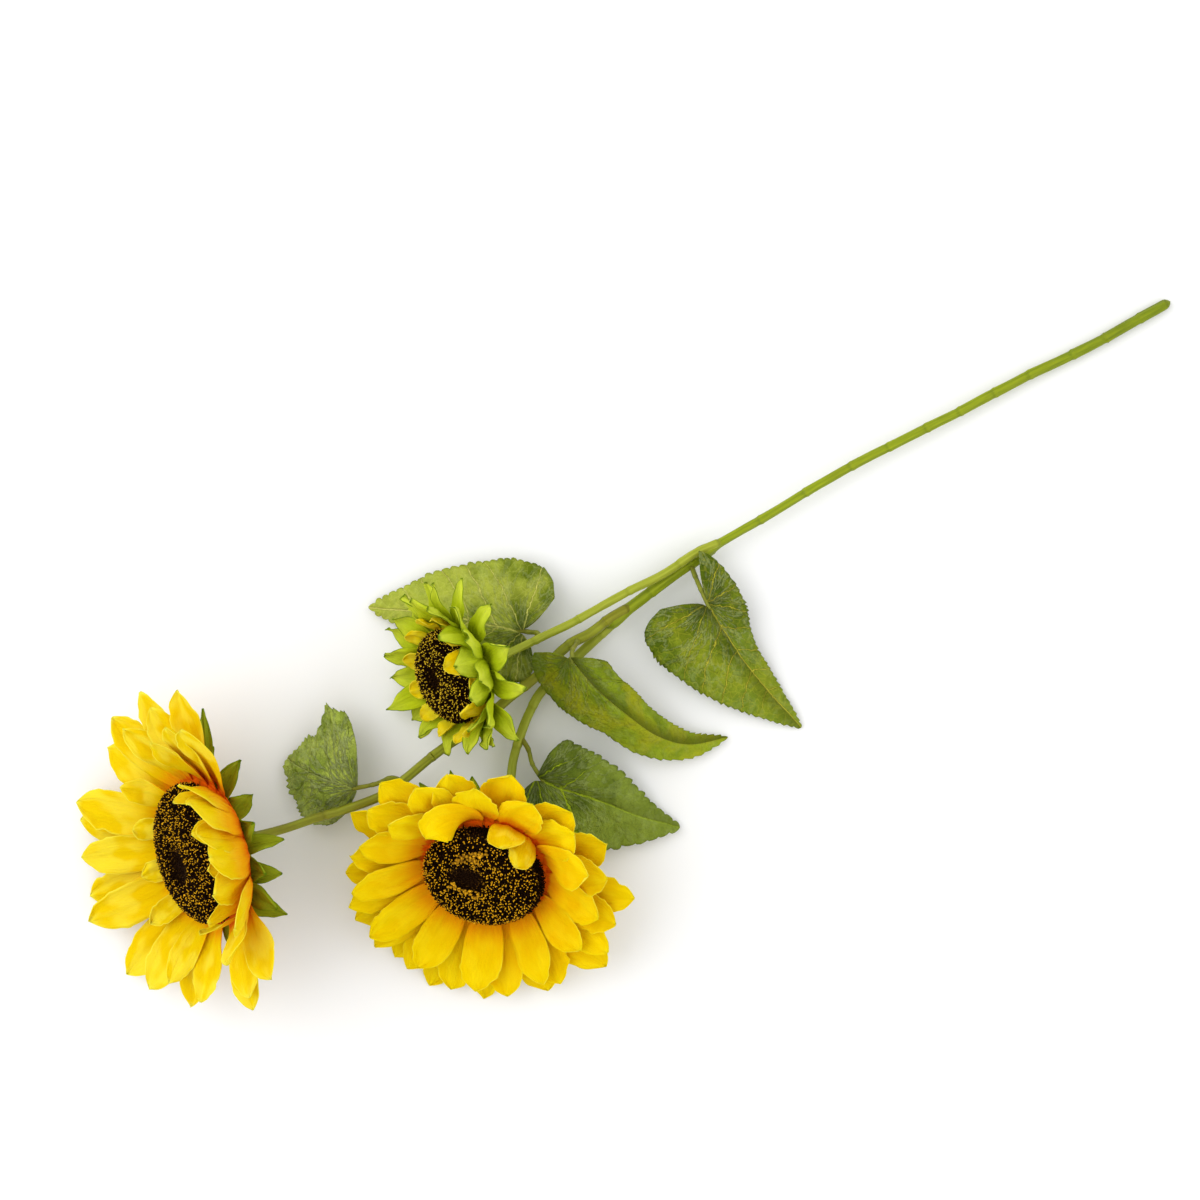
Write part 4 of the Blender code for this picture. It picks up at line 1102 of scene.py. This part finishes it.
def moulded_stem_group():
    """Moulded plastic stem: painted highlight on the ribs, painted shade in the grooves, brown
    stains and fine streaks.
    """
    tree, given, out = new_group(
        "moulded stem", {"Groove": (0.15, 0.2, 0.01), "Rib": (0.4, 0.45, 0.05),
                         "Stain": (0.3, 0.16, 0.02), "Stain Share": 0.2},
        ("Colour", "Height"))
    streak = speckle(stretched(flat_map(tree), (14.0, 9.0, 1.0)), 1.0, 3.0, 0.6)
    blotch = speckle(own_place(tree), 42.0, 3.0, 0.6)
    # the tone carries painted shade in the grooves and painted highlight on the ribs and rings
    share = (tone_of(tree) * 0.7 + (streak - 0.35) * 0.9).clamped()
    colour = blend(share, given["Groove"], given["Rib"])
    stained = fade(blotch, 0.42, 0.68) * given["Stain Share"]
    join(blend(stained, colour, given["Stain"]), out["Colour"])
    join(streak + blotch * 0.5, out["Height"])


EFFECTS = {"cloth grain": cloth_grain_group, "blade tint": blade_tint_group,
           "leaf veins": leaf_veins_group, "moulded stem": moulded_stem_group}


def shared_groups():
    """Builds each shared effect once."""
    for name, make in EFFECTS.items():
        if name not in bpy.data.node_groups:
            make()


# ---------------------------------------------------------------- materials
def blade_material(name, colours, marks, roughness, grain, pleat, depth, glow):
    """Cloth of a petal or sepal face; light glows through it a little."""
    mat, tree, shader = new_material(name, Roughness=roughness, Specular_IOR_Level=0.01,
                                     Subsurface_Weight=glow, Subsurface_Scale=0.0006,
                                     Subsurface_Radius=(1.0, 1.0, 0.4))
    tint = use_group(tree, "blade tint", *colours, *marks, pleat)
    weave = use_group(tree, "cloth grain", 0.45, grain)
    finish_skin(shader, shaded(tint["Colour"], weave["Shade"]),
                tint["Height"] + weave["Height"] * 0.12, depth)
    return mat


def leaf_material(name, colours, mottled, net, pale, veined, reach, width, grade, fold,
                  relief):
    """Embossed cloth of a leaf with printed veins."""
    dark, light, mottle, vein = colours
    mat, tree, shader = new_material(name, Roughness=0.72, Specular_IOR_Level=0.03)
    lines = use_group(tree, "leaf veins", 0.15, width, 0.055, reach)
    flat = flat_map(tree)
    clouds = speckle(flat, 7.0, 3.0, 0.55) + (lines["Along"] - 0.2) * grade
    colour = blend(fade(clouds, 0.34, 0.66), dark, light)
    patches = fade(speckle(flat, 4.6), 0.44, 0.62)
    colour = blend(patches * mottled, colour, mottle)
    # painted highlight on the creases, and painted shade in the crinkle valleys
    colour = blend((lines["Crease"] * pale).clamped(), colour, LEAF_CREASE_HIGHLIGHT)
    valley_shade = fade(lines["Crinkle"], 0.34, 0.60, 0.30 * pale, 0.0)
    colour = blend(valley_shade, colour, LEAF_VALLEY_SHADE)
    colour = blend(lines["Net"] * net, colour, vein)
    colour = blend(lines["Main"] * veined, colour, vein)
    colour = blend(fade(tone_of(tree), 0.93, 1.0) * 0.35, colour, dark)
    beside = lines["Across"] * math.copysign(1.0, fold)
    shadow = fade(beside, 0.003, 0.10, abs(fold), 0.0) * fade(beside, -0.002, 0.003)
    colour = blend(shadow, colour, LEAF_SHADOW)
    weave = use_group(tree, "cloth grain", 0.5, 0.55)
    height = lines["Height"] + weave["Height"] * 0.4 + lines["Crease"] * 0.55
    finish_skin(shader, shaded(colour, weave["Shade"]), height, relief)
    return mat


def stem_material(name, groove, rib, stain_share, stain, roughness=0.45):
    """Moulded plastic of a stem, stalk or receptacle."""
    mat, tree, shader = new_material(name, Roughness=roughness, Specular_IOR_Level=0.18,
                                     Coat_Weight=0.02, Coat_Roughness=0.35)
    mould = use_group(tree, "moulded stem", groove, rib, stain, stain_share)
    finish_skin(shader, mould["Colour"], mould["Height"], 0.0005)
    return mat


def bristle_material(name, dark, ochre, gold):
    """Dark bristles with golden tips."""
    mat, tree, shader = new_material(name, Roughness=0.6, Specular_IOR_Level=0.03)
    tone = tone_of(tree)
    grain = speckle(own_place(tree), 600.0, 1.0)
    colour = blend(fade(tone, 0.15, 0.60), dark, ochre)
    colour = blend(fade(tone, 0.50, 0.90), colour, gold)
    finish_skin(shader, shaded(colour, fade(grain, 0.3, 0.7, 0.8, 1.15)), grain, 0.0002)
    return mat


# ---------------------------------------------------------------- settings
def length_setting(label, about, mm):
    """A length that a user may change; its default is given in millimetres."""
    return bpy.props.FloatProperty(name=label, description=about, default=mm * MM, min=0.0,
                                   precision=5, subtype="DISTANCE", unit="LENGTH")


def in_mm(length):
    """A length setting in the millimetres that the shapes use."""
    return round(length / MM, 4)


def share_setting(label, about, default, top):
    """A plain factor that a user may change."""
    return bpy.props.FloatProperty(name=label, description=about, default=default, min=0.0,
                                   max=top, subtype="FACTOR")


def colour_setting(label, about, default):
    """A colour that a user may change."""
    return bpy.props.FloatVectorProperty(name=label, description=about, default=default,
                                         subtype="COLOR", size=3, min=0.0, max=1.0)


class SunflowerPetalSettings(bpy.types.PropertyGroup):
    """Petals and sepals."""
    thickness: length_setting("Cloth Thickness", "Thickness of petal cloth", 0.35)
    root: colour_setting("Petal Root", "Petal colour beside the disc", (0.72, 0.10, 0.002))
    base: colour_setting("Petal Base", "Petal colour near its base", (0.80, 0.30, 0.002))
    middle: colour_setting("Petal Middle", "Main petal colour", (0.77, 0.52, 0.001))
    tip: colour_setting("Petal Tip", "Petal colour toward the tip", (0.80, 0.585, 0.003))
    edge: colour_setting("Petal Edge", "Lemon colour of petal edges", (0.90, 0.79, 0.07))
    deep: colour_setting("Deep Petal", "Golden colour of the middle head", (0.80, 0.48, 0.001))
    back_root: colour_setting("Back Root", "Back of a petal at its base", (0.75, 0.09, 0.002))
    back_middle: colour_setting("Back Middle", "Back of a petal", (0.84, 0.36, 0.003))
    sepal_root: colour_setting("Sepal Root", "Sepal colour at its base", (0.30, 0.36, 0.004))
    sepal: colour_setting("Sepal", "Main sepal colour", (0.47, 0.55, 0.010))
    sepal_tip: colour_setting("Sepal Tip", "Sepal colour at its tip", (0.60, 0.67, 0.05))
    sepal_edge: colour_setting("Sepal Edge", "Dark green sepal edge", (0.09, 0.17, 0.003))


class SunflowerDiscSettings(bpy.types.PropertyGroup):
    """Seed discs."""
    spacing: length_setting("Bristle Spacing", "Distance between bristles", 1.0)
    length: length_setting("Bristle Length", "Length of a bristle", 2.3)
    dark: colour_setting("Disc Dark", "Foot of the bristles", (0.012, 0.004, 0.001))
    ochre: colour_setting("Disc Ochre", "Middle of the bristles", (0.17, 0.075, 0.005))
    gold: colour_setting("Disc Gold", "Bristle tips", (0.84, 0.43, 0.012))
    yellow: colour_setting("Disc Yellow", "Bristle tips of the young head", (0.84, 0.56, 0.03))


class SunflowerLeafSettings(bpy.types.PropertyGroup):
    """Leaves."""
    thickness: length_setting("Leaf Thickness", "Thickness of leaf cloth", 0.4)
    tooth: share_setting("Tooth Size", "Size of the teeth on the edge of a leaf", 1.0, 2.0)
    crumple: share_setting("Crumple", "Height of the soft waves of a leaf", 1.0, 2.0)
    pillow: length_setting("Pillow", "Depth of the pressed veins", 0.55)
    vein_pitch: length_setting("Vein Pitch", "Distance between side veins", 15.0)
    dark: colour_setting("Leaf Dark", "Deep leaf green", (0.085, 0.13, 0.006))
    light: colour_setting("Leaf Light", "Lighter leaf green", (0.18, 0.245, 0.018))
    mottle: colour_setting("Leaf Mottle", "Yellow-green patches", (0.29, 0.33, 0.016))
    vein: colour_setting("Leaf Vein", "Printed veins", (0.48, 0.45, 0.04))


class SunflowerStemSettings(bpy.types.PropertyGroup):
    """Stems and receptacles."""
    ridge: share_setting("Ridge Depth", "Depth of the ribs, of the radius", 0.045, 0.3)
    ring: length_setting("Ring Height", "Height of the rings on a stem", 0.30)
    groove: colour_setting("Stem Groove", "Grooves of the main stem", (0.15, 0.205, 0.001))
    rib: colour_setting("Stem Rib", "Ribs of the main stem", (0.37, 0.44, 0.008))
    stain: colour_setting("Stem Stain", "Brown stain on the stems", (0.17, 0.11, 0.006))


class SunflowerStageSettings(bpy.types.PropertyGroup):
    """Floor, lights and camera."""
    floor: colour_setting("Floor", "Colour of the floor", (0.92, 0.92, 0.92))
    camera_height: length_setting("Camera Height", "Height of the camera", 1500.0)
    view_width: length_setting("View Width", "Width of floor that the camera sees", 660.0)


# ---------------------------------------------------------------- operators
class SUNFLOWER_OT_petals(bpy.types.Operator):
    """Builds the cloth petal layers of the three heads"""
    bl_idname = "sunflower.petals"
    bl_label = "Petals"

    def execute(self, context):
        p = context.scene.sunflower_petals
        shared_groups()
        faces = {"a": (p.root, p.base, p.middle, p.tip, p.edge),
                 "b": (p.root, p.base, p.deep, DEEP_TIP, DEEP_EDGE),
                 "c": (YOUNG_ROOT, p.middle, YOUNG_MIDDLE, p.tip, p.edge)}
        roots = {"a": p.back_root, "b": p.root, "c": YOUNG_ROOT}
        for tag, head in HEADS.items():
            face = blade_material(f"petal_front_{tag}", faces[tag], FACE_MARKS[tag],
                                  **PETAL_FACE)
            back = blade_material(f"petal_back_{tag}",
                                  (roots[tag], p.back_middle, p.middle, p.tip, p.edge),
                                  BACK_MARKS[tag], **PETAL_BACK)
            for i, layer in enumerate(head["petals"]):
                blade_layer(tag, layer, head["base"] + LAYER_STEP * i, i, PETAL_STYLE,
                            in_mm(p.thickness), [back, face], "petal_fabric")
        return {"FINISHED"}


class SUNFLOWER_OT_sepals(bpy.types.Operator):
    """Builds the green sepal layers behind the petals"""
    bl_idname = "sunflower.sepals"
    bl_label = "Sepals"

    def execute(self, context):
        p = context.scene.sunflower_petals
        shared_groups()
        tints = {"a": SEPALS_A, "b": SEPALS_B, "c": (p.sepal_root, p.sepal, p.sepal_tip)}
        for tag, head in HEADS.items():
            root, middle, tip = tints[tag]
            green = blade_material(f"sepal_cloth_{tag}",
                                   (root, root, middle, tip, p.sepal_edge), SEPAL_MARKS,
                                   **SEPAL_CLOTH)
            for i, layer in enumerate(head["sepals"]):
                blade_layer(tag, layer, head["sepal_base"] + head["sepal_step"] * i,
                            len(head["petals"]) + i, SEPAL_STYLE, in_mm(p.thickness),
                            [green], "sepal_fabric")
        return {"FINISHED"}


class SUNFLOWER_OT_discs(bpy.types.Operator):
    """Builds the bristly seed discs"""
    bl_idname = "sunflower.discs"
    bl_label = "Seed Discs"

    def execute(self, context):
        d = context.scene.sunflower_discs
        for tag in HEADS:
            mat = bristle_material(f"bristle_{tag}", d.dark, d.ochre,
                                   d.yellow if tag == "c" else d.gold)
            seed_disc(tag, in_mm(d.spacing), in_mm(d.length), mat)
        return {"FINISHED"}


class SUNFLOWER_OT_receptacles(bpy.types.Operator):
    """Builds the green cups behind the heads"""
    bl_idname = "sunflower.receptacles"
    bl_label = "Receptacles"

    def execute(self, context):
        s = context.scene.sunflower_stems
        shared_groups()
        mat = stem_material("receptacle_skin", *CUP_GREEN, s.stain, roughness=0.55)
        for tag, head in HEADS.items():
            receptacle(tag, len(head["petals"]) + len(head["sepals"]), mat)
        return {"FINISHED"}


class SUNFLOWER_OT_stems(bpy.types.Operator):
    """Builds the moulded stems from the cut end to the heads"""
    bl_idname = "sunflower.stems"
    bl_label = "Stems"

    def execute(self, context):
        s = context.scene.sunflower_stems
        shared_groups()
        skins = {name: stem_material(f"stem_{name}", *tints, s.stain)
                 for name, tints in (("green", (s.groove, s.rib, 0.10)), ("olive", OLIVE),
                                     ("lime", LIME))}
        for node, shape in STEMS.items():
            stem(node, in_mm(s.ring), s.ridge, skins, **shape)
        return {"FINISHED"}


class SUNFLOWER_OT_stalks(bpy.types.Operator):
    """Builds the short stalks of the leaves"""
    bl_idname = "sunflower.stalks"
    bl_label = "Leaf Stalks"

    def execute(self, context):
        s = context.scene.sunflower_stems
        shared_groups()
        skins = {"stalk": stem_material("stalk_green", *STALK_GREEN, s.stain)}
        for node, route in STALKS.items():
            stem(node, in_mm(s.ring), s.ridge, skins, route, **STALK_SHAPE)
        return {"FINISHED"}


class SUNFLOWER_OT_leaves(bpy.types.Operator):
    """Builds the serrated heart-shaped leaves"""
    bl_idname = "sunflower.leaves"
    bl_label = "Leaves"

    def execute(self, context):
        v = context.scene.sunflower_leaves
        shared_groups()
        for name, look in LEAF_LOOKS.items():
            colours = [getattr(v, c) if isinstance(c, str) else c for c in look["colours"]]
            mat = leaf_material(f"{name}_cloth", **{**look, "colours": colours})
            leaf(name, v.tooth, in_mm(v.vein_pitch), v.crumple, in_mm(v.pillow),
                 in_mm(v.thickness), mat)
        return {"FINISHED"}


class SUNFLOWER_OT_stage(bpy.types.Operator):
    """Lays the pale floor and sets the soft lights and the camera"""
    bl_idname = "sunflower.stage"
    bl_label = "Stage"

    def execute(self, context):
        scene, g = context.scene, context.scene.sunflower_stage
        mesh = bpy.data.meshes.new("floor")
        mesh.from_pydata([(x * FLOOR_REACH, y * FLOOR_REACH, 0) for x, y in
                          ((-1, -1), (1, -1), (1, 1), (-1, 1))], [], [(0, 1, 2, 3)])
        mat, _, shader = new_material("pale_floor", Roughness=0.9, Specular_IOR_Level=0.1)
        join(g.floor, shader["Base Color"])
        mesh.materials.append(mat)
        floor = show("floor", mesh)
        floor.location.z = -FLOOR_GAP
        for name, (spot, width, power) in LIGHTS.items():
            light = bpy.data.lights.new(name, "AREA")
            light.size, light.energy = width, power
            lamp = show(name, light)
            lamp.location = spot
            lamp.rotation_euler = (-Vector(spot)).to_track_quat("-Z", "Y").to_euler()
        world = bpy.data.worlds.new("soft_sky")
        world.use_nodes = True
        sky = world.node_tree.nodes["Background"].inputs
        sky["Color"].default_value = (1.0, 1.0, 1.0, 1.0)
        sky["Strength"].default_value = SKY_STRENGTH
        scene.world = world
        camera = bpy.data.cameras.new("camera")
        camera.sensor_width = SENSOR
        camera.lens = SENSOR * g.camera_height / g.view_width
        eye = show("camera", camera)
        centre = (SPRAY_CENTRE + VIEW_CENTRE) * MM
        eye.location = (centre[0], centre[1], g.camera_height)
        eye.rotation_euler = (0.0, 0.0, math.radians(VIEW_TURN))
        scene.camera = eye
        scene.view_settings.view_transform = "Standard"
        return {"FINISHED"}


class SUNFLOWER_PT_panel(bpy.types.Panel):
    """Lists the settings and the steps that build the spray"""
    bl_idname = "SUNFLOWER_PT_panel"
    bl_label = "Cut Sunflower"
    bl_space_type = "VIEW_3D"
    bl_region_type = "UI"
    bl_category = "Sunflower"

    def draw(self, context):
        for prop in SETTINGS:
            box = self.layout.box()
            group = getattr(context.scene, prop)
            for key in group.__annotations__:
                box.prop(group, key)
        for step in STEPS:
            self.layout.operator(step.bl_idname)


SETTINGS = {"sunflower_petals": SunflowerPetalSettings,
            "sunflower_discs": SunflowerDiscSettings,
            "sunflower_leaves": SunflowerLeafSettings,
            "sunflower_stems": SunflowerStemSettings,
            "sunflower_stage": SunflowerStageSettings}
STEPS = (SUNFLOWER_OT_stage, SUNFLOWER_OT_petals, SUNFLOWER_OT_sepals, SUNFLOWER_OT_discs,
         SUNFLOWER_OT_receptacles, SUNFLOWER_OT_stems, SUNFLOWER_OT_stalks,
         SUNFLOWER_OT_leaves)


def register():
    """Registers the settings, steps and panel."""
    for prop, group in SETTINGS.items():
        bpy.utils.register_class(group)
        setattr(bpy.types.Scene, prop, bpy.props.PointerProperty(type=group))
    for step in STEPS + (SUNFLOWER_PT_panel,):
        bpy.utils.register_class(step)


def unregister():
    """Removes the panel, steps and settings."""
    for step in (SUNFLOWER_PT_panel,) + STEPS[::-1]:
        bpy.utils.unregister_class(step)
    for prop, group in SETTINGS.items():
        delattr(bpy.types.Scene, prop)
        bpy.utils.unregister_class(group)


def main():
    """Builds everything in order."""
    register()
    bpy.ops.sunflower.stage()
    bpy.ops.sunflower.petals()
    bpy.ops.sunflower.sepals()
    bpy.ops.sunflower.discs()
    bpy.ops.sunflower.receptacles()
    bpy.ops.sunflower.stems()
    bpy.ops.sunflower.stalks()
    bpy.ops.sunflower.leaves()
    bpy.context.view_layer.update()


if __name__ == "__main__":
    main()
